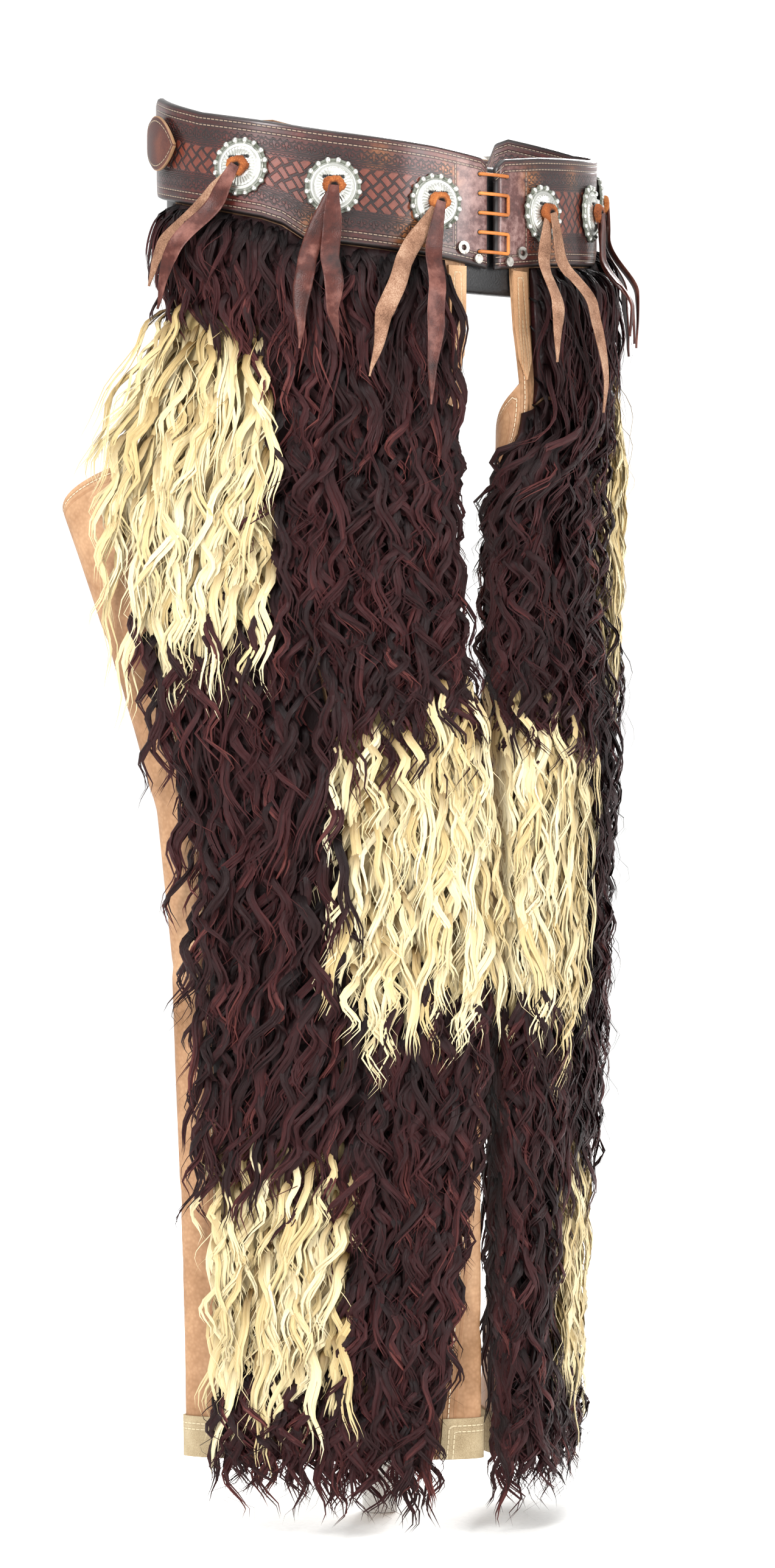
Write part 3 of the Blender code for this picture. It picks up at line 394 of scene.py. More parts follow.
class Paint:
    """One material: its shader, and the nodes that feed it."""

    def __init__(self, name, **constants):
        self.material = bpy.data.materials.new(name)
        self.material.use_nodes = True
        self.tree = self.material.node_tree
        self.shader = self.tree.nodes["Principled BSDF"]
        for key, value in constants.items():
            self.shader.inputs[key.replace("_", " ")].default_value = value

    def node(self, kind, settings=None, values=None, output=0):
        """Any node: its settings are set first, then its sockets' values or links."""
        made = self.tree.nodes.new(kind)
        for key, value in (settings or {}).items():
            if key == "stops":
                ramp = made.color_ramp
                while len(ramp.elements) < len(value):
                    ramp.elements.new(0.5)
                for element, (place, shade) in zip(ramp.elements, value):
                    element.position = place
                    element.color = rgba(shade)
            else:
                setattr(made, key, value)
        for key, value in (values or {}).items():
            if isinstance(value, Wire):
                self.tree.links.new(value.socket, made.inputs[key])
            else:
                made.inputs[key].default_value = value
        return Wire(self, made.outputs[output])

    def math(self, operation, *parts):
        return self.node("ShaderNodeMath", {"operation": operation}, dict(enumerate(parts)))

    def limit(self, value, low, high):
        """0 below low, 1 above high, and a smooth step between them."""
        return self.node("ShaderNodeMapRange", {"interpolation_type": "SMOOTHSTEP"},
                         {0: value, 1: low, 2: high})

    def line(self, away, half):
        """1 on a thin line and 0 beside it, from the distance to its middle."""
        return 1.0 - self.limit(abs(away), half * 0.5, half)

    def cell(self, run, pitch):
        """The distance from the middle of the nearest of evenly spaced marks."""
        return (self.math("FRACT", run / pitch) - 0.5) * pitch

    def length(self, x, y):
        return self.math("SQRT", x * x + y * y)

    def dashes(self, away, run, pitch=3.5, half=0.5):
        """1 on the stitches of a row, from the distance to the row and the run along it."""
        gap = self.limit(abs(self.cell(run, pitch)), pitch * 0.34, pitch * 0.42)
        return self.line(away, half) * (1.0 - gap)

    def attribute(self, name):
        return self.node("ShaderNodeAttribute", {"attribute_name": name}, output="Fac")

    def place(self):
        return self.node("ShaderNodeTexCoord", output="Object")

    def noise(self, where, scale, detail=3.0, roughness=0.55):
        return self.node("ShaderNodeTexNoise", {}, {
            "Vector": where, "Scale": scale, "Detail": detail, "Roughness": roughness})

    def blend(self, share, first, second):
        return self.node("ShaderNodeMix", {"data_type": "RGBA"}, {0: share, 6: first, 7: second}, output=2)

    def ramp(self, value, *stops):
        return self.node("ShaderNodeValToRGB", {"stops": stops}, {0: value})

    def bump(self, height, strength, distance):
        normal = self.node("ShaderNodeBump", {}, {
            "Height": height, "Strength": strength, "Distance": distance})
        self.feed("Normal", normal)

    def feed(self, name, value):
        self.tree.links.new(value.socket, self.shader.inputs[name])


def rgba(text):
    """A colour as seen on screen, written as six hexadecimal digits, in linear light."""
    parts = [int(text[place:place + 2], 16) / 255.0 for place in (0, 2, 4)]
    return (*(((part + 0.055) / 1.055) ** 2.4 if part > 0.04045 else part / 12.92 for part in parts), 1.0)


def hair_paint(name, root, stops, gloss):
    """Hair: fine streaks along each strand with painted highlights on the lightest of them, painted shade towards its
    root, and a tint of its own.
    """
    paint = Paint(name, Specular_IOR_Level=gloss)
    tint = paint.attribute("tint")
    along = paint.attribute("along")
    flat = paint.node("ShaderNodeUVMap", {"uv_map": "surface"})
    stretched = paint.node("ShaderNodeVectorMath", {"operation": "MULTIPLY"}, {0: flat, 1: (7.0, 1.3, 1.0)})
    shift = paint.node("ShaderNodeCombineXYZ", {}, {0: tint * 37.0, 1: tint * 11.0, 2: tint * 53.0})
    where = paint.node("ShaderNodeVectorMath", {"operation": "ADD"}, {0: stretched, 1: shift})
    streak = paint.noise(where, 1.6, 4.0, 0.65)
    # The streak noise and the run along the strand pick colours from the stops, so the lightest streaks and the tips
    # carry the painted highlight.
    hue = paint.ramp(streak * 0.6 + tint * 0.45 + along * 0.2 - 0.15, *stops)
    # Painted shade: over the first half of each strand the colour is blended from the root colour, for the shade deep
    # in the fleece.
    paint.feed("Base Color", paint.blend(paint.limit(along, 0.0, 0.5), rgba(root), hue))
    paint.feed("Roughness", 0.26 + streak * 0.2)
    paint.bump(streak, 0.6, 0.001)
    return paint.material


def chap_leather():
    """Chap leather: pebbled grain, cloudy tan, painted shade in the stitch groove and along the fold line, stitched
    at its seams.
    """
    paint = Paint("tan_leather", Specular_IOR_Level=0.35)
    where = paint.place()
    cloud = paint.noise(where, 9.0, 4.0)
    spots = paint.noise(where, 60.0, 3.0)
    pebble = paint.node("ShaderNodeTexVoronoi", {"feature": "SMOOTH_F1"}, {
        "Vector": where, "Scale": 400.0, "Smoothness": 0.6})
    edge = paint.attribute("edge")
    run = paint.attribute("run")
    thread = paint.dashes(edge - 4.0, run)
    trench = paint.line(edge - 4.0, 1.4)
    fold = paint.line(edge - 8.5, 1.6)
    hue = paint.ramp(cloud * 0.75 + spots * 0.35 - pebble * 0.12 - 0.05,
                     (0.30, "85603f"), (0.44, "9f7857"), (0.56, "b48d6a"), (0.72, "caab88"))
    # Painted shade: the stitch groove and the fold line are darkened as if shaded.
    hue = paint.blend((trench + fold) * 0.35, hue, rgba("8a5c38"))
    paint.feed("Base Color", paint.blend(thread * 0.8, hue, rgba("e8d9bd")))
    paint.feed("Roughness", 0.5 + spots * 0.2)
    paint.bump(pebble * 0.6 + cloud * 1.6 - trench * 0.9 + thread * 0.9 - fold * 0.5, 0.6, 0.0009)
    return paint.material


def suede(name, shades, rows):
    """Napped leather with rows of stitches at these distances from its edge."""
    paint = Paint(name, Specular_IOR_Level=0.15)
    where = paint.place()
    cloud = paint.noise(where, 30.0, 5.0)
    nap = paint.noise(where, 1500.0, 2.0)
    hue = paint.ramp(cloud * 0.6 + nap * 0.4, (0.3, shades[0]), (0.5, shades[1]), (0.7, shades[2]))
    relief = nap * 0.5 + cloud
    edge = paint.attribute("edge")
    run = paint.attribute("run")
    for place in rows:
        thread = paint.dashes(edge - place, run)
        hue = paint.blend(thread * 0.7, hue, rgba("d9c9a8"))
        relief = relief - paint.line(edge - place, 1.2) + thread
    paint.feed("Base Color", hue)
    paint.feed("Roughness", 0.82 + nap * 0.12)
    paint.bump(relief, 0.55, 0.0006)
    return paint.material


def plain_leather(name, shades, sheen_spots):
    """Smooth dressed leather with fine grain and clouded colour."""
    paint = Paint(name, Specular_IOR_Level=0.4)
    where = paint.place()
    cloud = paint.noise(where, 28.0, 5.0)
    grain = paint.noise(where, 900.0, 3.0)
    hue = paint.ramp(cloud * 0.8 + grain * 0.2, (0.3, shades[0]), (0.5, shades[1]), (0.72, shades[2]))
    paint.feed("Base Color", hue)
    paint.feed("Roughness", 0.36 + cloud * sheen_spots)
    paint.bump(grain + cloud, 0.3, 0.0005)
    return paint.material


def tooled_leather():
    """The belt: rolled dark edge, two stitched rows, bands of small stamps, and basket weave.

    low, high and run are the distances in millimetres from the lower, the upper and the front
    edge, and rise is the height above the hem. worn is 1 where the colour has rubbed off.
    """
    paint = Paint("tooled_leather", Specular_IOR_Level=0.5, Coat_Weight=0.35, Coat_Roughness=0.18)
    where = paint.place()
    low = paint.attribute("low")
    high = paint.attribute("high")
    run = paint.attribute("run")
    worn = paint.attribute("worn")
    rise = paint.attribute("rise")
    hole = paint.length(run - LACE_RUN, paint.cell(rise - LACE_LOWEST + LACE_PITCH * 0.5, LACE_PITCH))
    edge = paint.math("MINIMUM", low, high)
    inside = paint.limit(run, TOOLING_START, TOOLING_START + 0.8)

    thread = paint.math("MAXIMUM", paint.dashes(edge - 4.0, run), paint.dashes(edge - 8.5, run))
    upright = paint.dashes(run - TOOLING_START + 2.2, low) * paint.limit(edge, 8.5, 9.0)
    thread = paint.math("MAXIMUM", thread, upright)
    trench = paint.math("MAXIMUM", paint.line(edge - 4.0, 1.2), paint.line(edge - 8.5, 1.2))
    trench = paint.math("MAXIMUM", trench, paint.line(run - TOOLING_START + 2.2, 1.2) * paint.limit(edge, 8.5, 9.0))

    x = paint.cell(run, 5.0)
    scallop = paint.line(paint.length(x, edge - 10.4) - 2.4, 0.5) * paint.limit(edge, 10.6, 11.2)
    x = paint.cell(run, 8.6)
    y = 15.0 - edge
    petal = paint.length(x * 1.7, y - 1.0) - 2.0
    sides = paint.length(abs(x) - 2.1, y + 0.5) - 1.05
    stem = paint.math("MAXIMUM", abs(x) - 0.5, abs(y + 1.4) - 1.5)
    flower = paint.math("MINIMUM", paint.math("MINIMUM", petal, sides), stem)
    bloom = 1.0 - paint.limit(flower, -0.35, 0.1)
    outline = paint.line(flower - 0.5, 0.6)
    wave = paint.line(edge - 18.2 - paint.math("SINE", run * 0.73) * 0.5, 0.45)
    lines = paint.math("MAXIMUM", paint.line(edge - 19.4, 0.45), paint.line(edge - 20.6, 0.45))
    x = paint.cell(run, 3.1)
    moon = paint.line(paint.length(x, edge - 21.2) - 1.4, 0.4) * paint.limit(edge, 21.3, 21.7)
    band = paint.math("MAXIMUM", paint.math("MAXIMUM", scallop, outline), paint.math("MAXIMUM", wave, lines))
    band = paint.math("MAXIMUM", band, moon) * inside

    field = paint.limit(edge, 23.2, 23.8) * inside
    a = (run + low) * 0.7071 / WEAVE_PITCH
    b = (run - low) * 0.7071 / WEAVE_PITCH
    turned = paint.math("FLOORED_MODULO", paint.math("FLOOR", a) + paint.math("FLOOR", b), 2.0)
    p = paint.math("FRACT", a) - 0.5
    q = paint.math("FRACT", b) - 0.5
    across = q * turned + p * (1.0 - turned)
    along = p * turned + q * (1.0 - turned)
    bar = (1.0 - paint.limit(abs(across), 0.27, 0.35)) * (1.0 - paint.limit(abs(along), 0.44, 0.5)) * field
    hatch = paint.line(paint.cell(along, 0.2), 0.06) * paint.limit(abs(across), 0.32, 0.38) * field

    cloud = paint.noise(where, 16.0, 5.0)
    grain = paint.noise(where, 700.0, 3.0)
    crackle = paint.noise(where, 160.0, 6.0, 0.75)
    hue = paint.ramp(cloud * 0.7 + crackle * 0.4 - 0.05,
                     (0.30, "1a0807"), (0.46, "37120f"), (0.60, "572018"), (0.78, "7f3f2c"))
    front = 1.0 - paint.limit(run, TOOLING_START - 5.0, TOOLING_START - 2.0)
    # Painted sheen: the plain front end takes a lighter, greyer colour for the light it reflects.
    sheen = paint.ramp(cloud * 0.5 + crackle * 0.6, (0.38, "26110f"), (0.52, "56302c"), (0.66, "93756f"))
    hue = paint.blend(front * paint.limit(edge, 2.0, 9.0) * 0.85, hue, sheen)
    # Painted highlight: the raised weave bars are lightened where the crackle noise is high, as light catching them.
    hue = paint.blend(bar * crackle * 1.1, hue, rgba("7c3d2c"))
    hue = paint.blend(worn * paint.limit(crackle, 0.35, 0.6), hue, rgba("b9773f"))
    # Painted shade: the pressed stamps, the hatch lines, the gaps between the weave's bars and the stitch grooves are
    # darkened as if in shade; the rolled edges and the front end are darker in their own colour.
    dark = paint.math("MAXIMUM", band * 0.85, hatch * 0.8)
    dark = paint.math("MAXIMUM", dark, field * (1.0 - bar) * 0.55)
    dark = paint.math("MAXIMUM", dark, trench * 0.6)
    dark = paint.math("MAXIMUM", dark, 1.0 - paint.limit(edge, 1.0, 3.2))
    dark = paint.math("MAXIMUM", dark, (1.0 - paint.limit(run, 1.0, 3.6)))
    hue = paint.blend(paint.math("MINIMUM", dark, 1.0), hue, rgba("150908"))
    hue = paint.blend(thread * 0.75, hue, rgba("a58d78"))
    # Painted shade: the lace holes are painted near-black instead of being cut, for the shade and the black form seen
    # through them.
    hole_shade = (1.0 - paint.limit(hole, 1.7, 2.3)) * (1.0 - paint.limit(rise, 889.0, 890.0))
    hue = paint.blend(hole_shade, hue, rgba("050303"))
    paint.feed("Base Color", hue)
    paint.feed("Roughness", 0.3 + crackle * 0.25 + dark * 0.15)
    relief = bar * 0.9 + hatch * 0.5 + field * -0.5 - band * 0.8 + bloom * inside * 0.5
    relief = relief - trench * 0.8 + thread * 0.9 + grain * 0.12 + crackle * 0.25 + cloud * 0.5
    paint.bump(relief, 0.9, 0.0008)
    return paint.material


def silver():
    """Stamped silver with grey-green tarnish in its hollows, from the attribute hollow."""
    paint = Paint("tarnished_silver")
    where = paint.place()
    hollow = paint.attribute("hollow")
    slot = paint.attribute("slot")
    cloud = paint.noise(where, 130.0, 4.0)
    share = paint.math("MINIMUM", hollow + paint.limit(cloud, 0.55, 0.8) * 0.35, 1.0)
    hue = paint.blend(share, rgba("e4e4de"), rgba("55594c"))
    # Painted shade: the slot is painted near-black and not metallic, for the dark inside of the slit the string goes
    # through.
    paint.feed("Base Color", paint.blend(slot, hue, rgba("080605")))
    paint.feed("Metallic", (1.0 - share * 0.55) * (1.0 - slot))
    paint.feed("Roughness", 0.2 + share * 0.35 + cloud * 0.12)
    paint.bump(cloud, 0.25, 0.0003)
    return paint.material


def strap_leather():
    """The back strap: dark leather, paler at its edge, two rows of stitches and open holes."""
    paint = Paint("strap_leather", Specular_IOR_Level=0.45)
    where = paint.place()
    cloud = paint.noise(where, 28.0, 5.0)
    grain = paint.noise(where, 900.0, 3.0)
    edge = paint.attribute("edge")
    run = paint.attribute("run")
    thread = paint.dashes(edge - 3.4, run)
    trench = paint.line(edge - 3.4, 1.2)
    hue = paint.ramp(cloud * 0.8 + grain * 0.2, (0.3, "24100c"), (0.5, "44201a"), (0.72, "6d3d2c"))
    hue = paint.blend(1.0 - paint.limit(edge, 0.3, 1.2), hue, rgba("8d6a4a"))
    # Painted shade: the stitch groove is darkened as if shaded.
    hue = paint.blend(trench * 0.5, hue, rgba("140807"))
    paint.feed("Base Color", paint.blend(thread * 0.8, hue, rgba("b39b80")))
    paint.feed("Roughness", 0.36 + cloud * 0.3)
    paint.feed("Alpha", paint.limit(paint.attribute("hole"), 2.8, 3.0))
    paint.bump(grain * 0.5 + cloud - trench + thread, 0.5, 0.0006)
    return paint.material


def string_leather():
    """The strings: grain leather where nap is 0, suede where it is 1, orange suede where it is half."""
    paint = Paint("string_leather", Specular_IOR_Level=0.3)
    where = paint.place()
    cloud = paint.noise(where, 45.0, 5.0, 0.65)
    fine = paint.noise(where, 1100.0, 2.0)
    nap = paint.attribute("nap")
    grain = paint.ramp(cloud, (0.32, "26100d"), (0.5, "4b241d"), (0.68, "7c5046"))
    napped = paint.ramp(cloud * 0.6 + fine * 0.4, (0.34, "5a3d2c"), (0.5, "8a6650"), (0.66, "b3937a"))
    orange = paint.ramp(cloud * 0.7 + fine * 0.3, (0.34, "55280f"), (0.5, "8c4b22"), (0.66, "b8763f"))
    hue = paint.blend(paint.limit(nap, 0.1, 0.3), grain, orange)
    hue = paint.blend(paint.limit(nap, 0.7, 0.9), hue, napped)
    # Painted shade: where hole is 1, the inner end of the loop is painted near-black for the shade in its opening.
    paint.feed("Base Color", paint.blend(paint.attribute("hole"), hue, rgba("0a0504")))
    paint.feed("Roughness", 0.42 + paint.limit(nap, 0.1, 0.3) * 0.42)
    paint.bump(cloud + fine * 0.6, 0.5, 0.0007)
    return paint.material


def worn_metal():
    paint = Paint("worn_nickel", Metallic=1.0)
    where = paint.place()
    cloud = paint.noise(where, 220.0, 4.0)
    paint.feed("Base Color", paint.ramp(cloud, (0.35, "6f6a64"), (0.6, "b9b5ae")))
    paint.feed("Roughness", 0.28 + cloud * 0.25)
    paint.bump(cloud, 0.2, 0.0002)
    return paint.material


def black_cover():
    """The form's black cover: fine grain under a soft gloss."""
    paint = Paint("form_cover", Specular_IOR_Level=0.5)
    where = paint.place()
    grain = paint.noise(where, 700.0, 3.0)
    paint.feed("Base Color", paint.ramp(grain, (0.3, "0a0a0b"), (0.7, "1c1c1e")))
    paint.feed("Roughness", 0.3 + grain * 0.2)
    paint.bump(grain, 0.35, 0.0006)
    return paint.material


def satin_white():
    paint = Paint("satin_white", Specular_IOR_Level=0.4)
    where = paint.place()
    skin = paint.noise(where, 300.0, 2.0)
    paint.feed("Base Color", paint.ramp(skin, (0.3, "e9e9e7"), (0.7, "f3f3f1")))
    paint.feed("Roughness", 0.38 + skin * 0.1)
    paint.bump(skin, 0.1, 0.0003)
    return paint.material


TOOLING_START = 31.0
WEAVE_PITCH = 7.2
LACE_RUN = 8.85
LACE_LOWEST = 831.2
LACE_PITCH = 13.4
# Both root colours are painted shade. The dark hair's lightest stop is a painted highlight; the cream's stops run
# from painted shade to painted highlight.
DARK_HAIR = hair_paint("dark_hair", "050203", (
    (0.0, "120708"), (0.4, "1f0b0c"), (0.66, "391618"), (1.0, "a05a50")), 0.18)
CREAM_HAIR = hair_paint("cream_hair", "6d4f22", (
    (0.0, "967a46"), (0.32, "c7ae78"), (0.6, "e4d4a8"), (0.95, "faf1d6")), 0.4)
TAN = chap_leather()
CUFF = suede("cuff_suede", ("7d6b50", "a39274", "bcae92"), (5.0, 9.0))
STRIP = suede("strip_leather", ("9c7452", "b98f6b", "cfac88"), (4.6, 9.2))
TOOLED = tooled_leather()
STRAP = strap_leather()
STRING = string_leather()
LACE = plain_leather("orange_lace", ("8f4c1d", "c27534", "dd9853"), 0.2)
SILVER = silver()
METAL = worn_metal()
FORM_BLACK = black_cover()
WHITE = satin_white()

# Fleece patches: borders between them as in the solids, and the hair's own habits.
FLEECE_GAP = 0.5
FLEECE_SEAM = 3.4
COLUMNS = 16
COLUMN_LEAN = 0.085
LEAN_LOW = 540.0
LEAN_SPAN = 60.0
SWING_START = 4.0
EDGES = {
    "hip": (724.0, 806.0, 8.0),
    "knee_inner": (552.0, 498.0, 10.0),
    "knee_outer": (604.0, 598.0, 12.0),
    "calf": (356.0, 318.0, 16.0),
    "shin": (226.0, 220.0, 12.0),
    "hem": (70.0, 70.0, 5.0),
}
PATCH_COLUMNS = (
    "name", "first", "last", "upper", "lower", "lift", "clumps", "length", "wave", "wavelength", "curl", "trim",
    "rings", "lean",
)
PATCHES = (
    ("fleece_hip", 1, 16, "belt", "hip", 21.0, 260, 80.0, 5.0, 52.0, 0.6, 0.42, 10, 0.15),
    ("fleece_thigh_inner", 0, 10, "hip", "knee_inner", 20.0, 240, 88.0, 6.0, 33.0, 0.85, 0.0, 14, 0.0),
    ("fleece_thigh_outer", 10, 16, "hip", "knee_outer", 22.0, 160, 92.0, 4.0, 40.0, 0.6, 0.0, 11, 0.2),
    ("fleece_knee_inner", 0, 10, "knee_inner", "calf", 20.0, 200, 84.0, 3.8, 36.0, 0.6, 0.0, 12, 0.0),
    ("fleece_knee_outer", 10, 16, "knee_outer", "shin", 23.0, 230, 80.0, 5.2, 38.0, 0.8, 0.0, 11, 0.14),
    ("fleece_calf_inner", 0, 10, "calf", "shin", 18.0, 120, 78.0, 5.2, 38.0, 0.8, 0.0, 11, 0.0),
    ("fleece_shin_inner", 0, 9, "shin", "hem", 17.0, 130, 70.0, 5.0, 36.0, 0.8, 0.0, 10, 0.0),
    ("fleece_shin_outer", 9, 16, "shin", "hem", 19.0, 116, 78.0, 3.8, 35.0, 0.6, 0.0, 11, 0.1),
)
CREAM_PATCHES = ("fleece_thigh_outer", "fleece_knee_inner", "fleece_shin_outer")
HEM_HABIT = {"lift": 17.0, "length": 62.0, "wave": 5.6, "wavelength": 30.0, "curl": 0.85, "rings": 10, "lean": 0.0,
             "trim": 0.0, "clumps": 130}
LOWEST_HAIR = 12.0
INNER_LIFT = 0.25
INNER_SHARE = 0.004
OPEN_LOW = 480.0
OPEN_SPAN = 80.0
OUTER_WRAP = 0.4
TOP_ROOTS = 9.0
BARE_HEM_COLUMNS = 1.7
BARE_HEM_HEIGHT = 120.0
CLUMP = 5
CLUMP_SPREAD = 2.3
LOCK_WIDTH = 1.95
LOCK_FOLD = 0.45
STRAND_WIDTH = 0.4
UNDERCOAT = 8.0
GOLDEN = 0.6180339887


def column_share(column, height):
    """A fleece column's place across the panel, which leans inwards on the lower leg."""
    share = column / COLUMNS
    lean = COLUMN_LEAN * (1.0 - ease((height - LEAN_LOW) / LEAN_SPAN))
    return share - lean * 4.0 * share * (1.0 - share)


def edge_height(name, column):
    inner, outer, swing = EDGES[name]
    wave = np.cos(math.pi * column) * (0.7 + 0.3 * np.sin(2.3 * column))
    return mix(inner, outer, column / COLUMNS) + swing * wave * np.clip(column / SWING_START, 0.1, 1.0)


def border_height(name, column):
    """The height of a patch's border, read between the fleece's whole columns."""
    if name == "belt":
        return belt_value("bottom", mix(PANEL_START, PANEL_END, column / COLUMNS)) - 1.0
    whole = np.arange(COLUMNS + 1)
    return np.interp(column, whole, edge_height(name, whole))


def lock_ribbons(leg, draw, height, share, habit, members, width):
    """Tapered curly ribbons, in clumps that share a root, a curl and a lean.

    Each leaves the leather outwards, bends down and follows the panel under it, swinging
    sideways and in and out as it falls, and ends in a point. The members of a clump start
    apart and close up towards their tips.
    """
    clumps = len(height)
    count = clumps * members

    def shared(low, high):
        return np.repeat(draw.uniform(low, high, clumps), members)[:, None]

    height = np.repeat(height, members)[:, None]
    share = np.repeat(share, members)[:, None]
    step = np.linspace(0.0, 1.0, habit["rings"] + 1)[None, :]
    length = habit["length"] * (1.0 - habit["trim"] * ease((share - 0.45) / 0.4)) * shared(0.65, 1.2)
    length = length * draw.uniform(0.85, 1.1, (count, 1))
    parted = ease((height - OPEN_LOW) / OPEN_SPAN)
    inner = mix(mix(1.0, INNER_LIFT, parted), 1.0, ease(share * COLUMNS / 2.0))
    lift = habit["lift"] * shared(0.3, 1.0) * inner
    drop = length * step ** 1.2
    out = 1.5 + lift * (1.0 - np.exp(-7.0 * step))
    level = height - drop
    girth = mix(leg.value("width", np.maximum(level, 0.0)) * 0.9, 250.0, leg.value("belt_share", level))
    lean = habit["lean"] + shared(-0.3, 0.3) + draw.normal(0.0, 0.04, (count, 1))
    side = np.maximum(share + lean * drop / girth, mix(-0.03, INNER_SHARE, parted))
    foot, normal, across = surface_frame(leg.front_point, level, side)
    wavelength = habit["wavelength"] * shared(0.75, 1.35)
    phase = 2.2 * np.sin(height / 19.0 + share * 9.0) + 2.2 * np.sin(share * 37.0 - height / 27.0)
    phase = phase + shared(-1.6, 1.6) + draw.normal(0.0, 0.22, (count, 1))
    turn = phase + 2.0 * math.pi * length * step / wavelength
    swing = habit["wave"] * shared(0.3, 1.4) * ease(step * 3.0) * (0.6 + 0.7 * step)
    deep = habit["curl"] * swing * 0.85
    apart = CLUMP_SPREAD * (1.0 - 0.75 * step) * (members > 1)
    hand = np.sign(shared(-1.0, 1.0))
    beside = np.sin(turn) * swing * hand + draw.uniform(-1.0, 1.0, (count, 1)) * apart
    above = out + np.cos(turn) * deep + draw.uniform(-0.8, 0.8, (count, 1)) * apart
    centre = foot + normal * above[..., None] + across * beside[..., None]
    centre[..., 0] = np.maximum(centre[..., 0], leg.value("hair_x", np.maximum(level, 0.0)) + 1.0)
    tangent = unit(np.gradient(centre, axis=1))
    flat = unit(np.cross(tangent, normal))
    thick = np.cross(flat, tangent)
    half = width * draw.uniform(0.6, 1.25, (count, 1))
    half = half * np.clip(0.5 + 2.4 * step, 0.0, 1.0) * (1.0 - step ** 2.0)
    roll = draw.uniform(-0.5, 0.5, (count, 1))[..., None]
    flat, thick = flat * np.cos(roll) + thick * np.sin(roll), thick * np.cos(roll) - flat * np.sin(roll)
    points = np.stack((centre - flat * half[..., None], centre + thick * half[..., None] * LOCK_FOLD,
                       centre + flat * half[..., None]), axis=2)
    points[..., 2] = np.maximum(points[..., 2], LOWEST_HAIR)
    tint = np.repeat(draw.uniform(0.0, 1.0, clumps), members) * 0.7 + draw.uniform(0.0, 0.3, count)
    return points, tint, length[:, 0]


def lock_arrays(rings, tint, length):
    """Points, faces, surface map and attributes of many ribbons, each folded along its middle."""
    count, rows, width = rings.shape[:3]
    each = rows * width
    row = np.arange(rows - 1)[:, None] * width
    column = np.arange(width - 1)[None, :]
    face = np.stack((row + column, row + column + 1, row + width + column + 1, row + width + column), axis=-1)
    quads = (face.reshape(1, -1, 4) + np.arange(count)[:, None, None] * each).reshape(-1, 4)
    along = np.broadcast_to(np.linspace(0.0, 1.0, rows)[:, None], (rows, width))
    across = np.broadcast_to(np.linspace(0.0, 1.0, width), (rows, width))
    place = np.stack((np.broadcast_to(across, (count, rows, width)), along * (length / 50.0)[:, None, None]), axis=-1)
    return {"points": rings.reshape(-1, 3), "quads": quads, "triangles": np.zeros((0, 3), dtype=int),
            "quad_uv": place.reshape(-1, 2)[quads], "triangle_uv": np.zeros((0, 3, 2)),
            "tint": np.repeat(tint, each), "along": np.tile(along.ravel(), count)}


def undercoat(leg, patch):
    """A closed felt of short hair close to the leather, which hides it between the locks."""
    columns = np.linspace(patch["first"] + 0.07, patch["last"] - 0.07, 2 * (patch["last"] - patch["first"]) + 1)
    top = border_height(patch["upper"], columns) - FLEECE_SEAM * (patch["upper"] != "belt")
    bottom = border_height(patch["lower"], columns)
    share = np.linspace(0.0, 1.0, 24)[:, None]
    heights = mix(bottom, top, share)
    shares = column_share(np.broadcast_to(columns, heights.shape), heights)
    foot, normal, _ = surface_frame(leg.front_point, heights, shares)
    edge = np.minimum(ease(share * 9.0), ease((1.0 - share) * 9.0)) * 0.6 + 0.4
    lump = 0.75 + 0.25 * np.sin(heights * 0.31 + 9.0 * np.sin(shares * 41.0)) * np.sin(shares * 97.0)
    depth = UNDERCOAT * edge * lump
    room = (foot[..., 0] - leg.value("hair_x", heights)) / np.maximum(-normal[..., 0], 0.02)
    depth = np.minimum(depth, np.maximum(room, 1.0))
    outer = foot + normal * (FLEECE_GAP + depth)[..., None]
    inner = foot + normal * FLEECE_GAP
    rows, width = heights.shape
    quads = wall_faces(rows, width)
    flat = np.tile(np.stack((shares * 16.0, heights / 50.0), axis=-1).reshape(-1, 2), (2, 1))
    tint = np.tile((0.3 + 0.3 * np.sin(shares * 60.0 + heights * 0.1)).ravel(), 2)
    # Painted shade: the fixed along value of 0.35 blends part of the root's painted shade into the undercoat.
    return {"points": np.concatenate((outer.reshape(-1, 3), inner.reshape(-1, 3))), "quads": quads,
            "triangles": np.zeros((0, 3), dtype=int), "quad_uv": flat[quads], "triangle_uv": np.zeros((0, 3, 2)),
            "tint": tint, "along": np.full(len(tint), 0.35)}


def make_hair(name, leg, layers, slot):
    """Join layers of hair into one mesh that stands for the solid of the same name."""
    joined = {key: [] for key in layers[0]}
    start = 0
    for layer in layers:
        for key, values in layer.items():
            joined[key].append(values + start if key in ("quads", "triangles") else values)
        start += len(layer["points"])
    joined = {key: np.concatenate(parts) for key, parts in joined.items()}
    material = CREAM_HAIR if slot == "cream_fleece" else DARK_HAIR
    made = make_object("hair_" + name, joined["points"], joined["quads"], joined["triangles"], material, leg.side,
                       (joined["quad_uv"], joined["triangle_uv"]), {"tint": joined["tint"], "along": joined["along"]})
    finish_piece(made, slot, name)


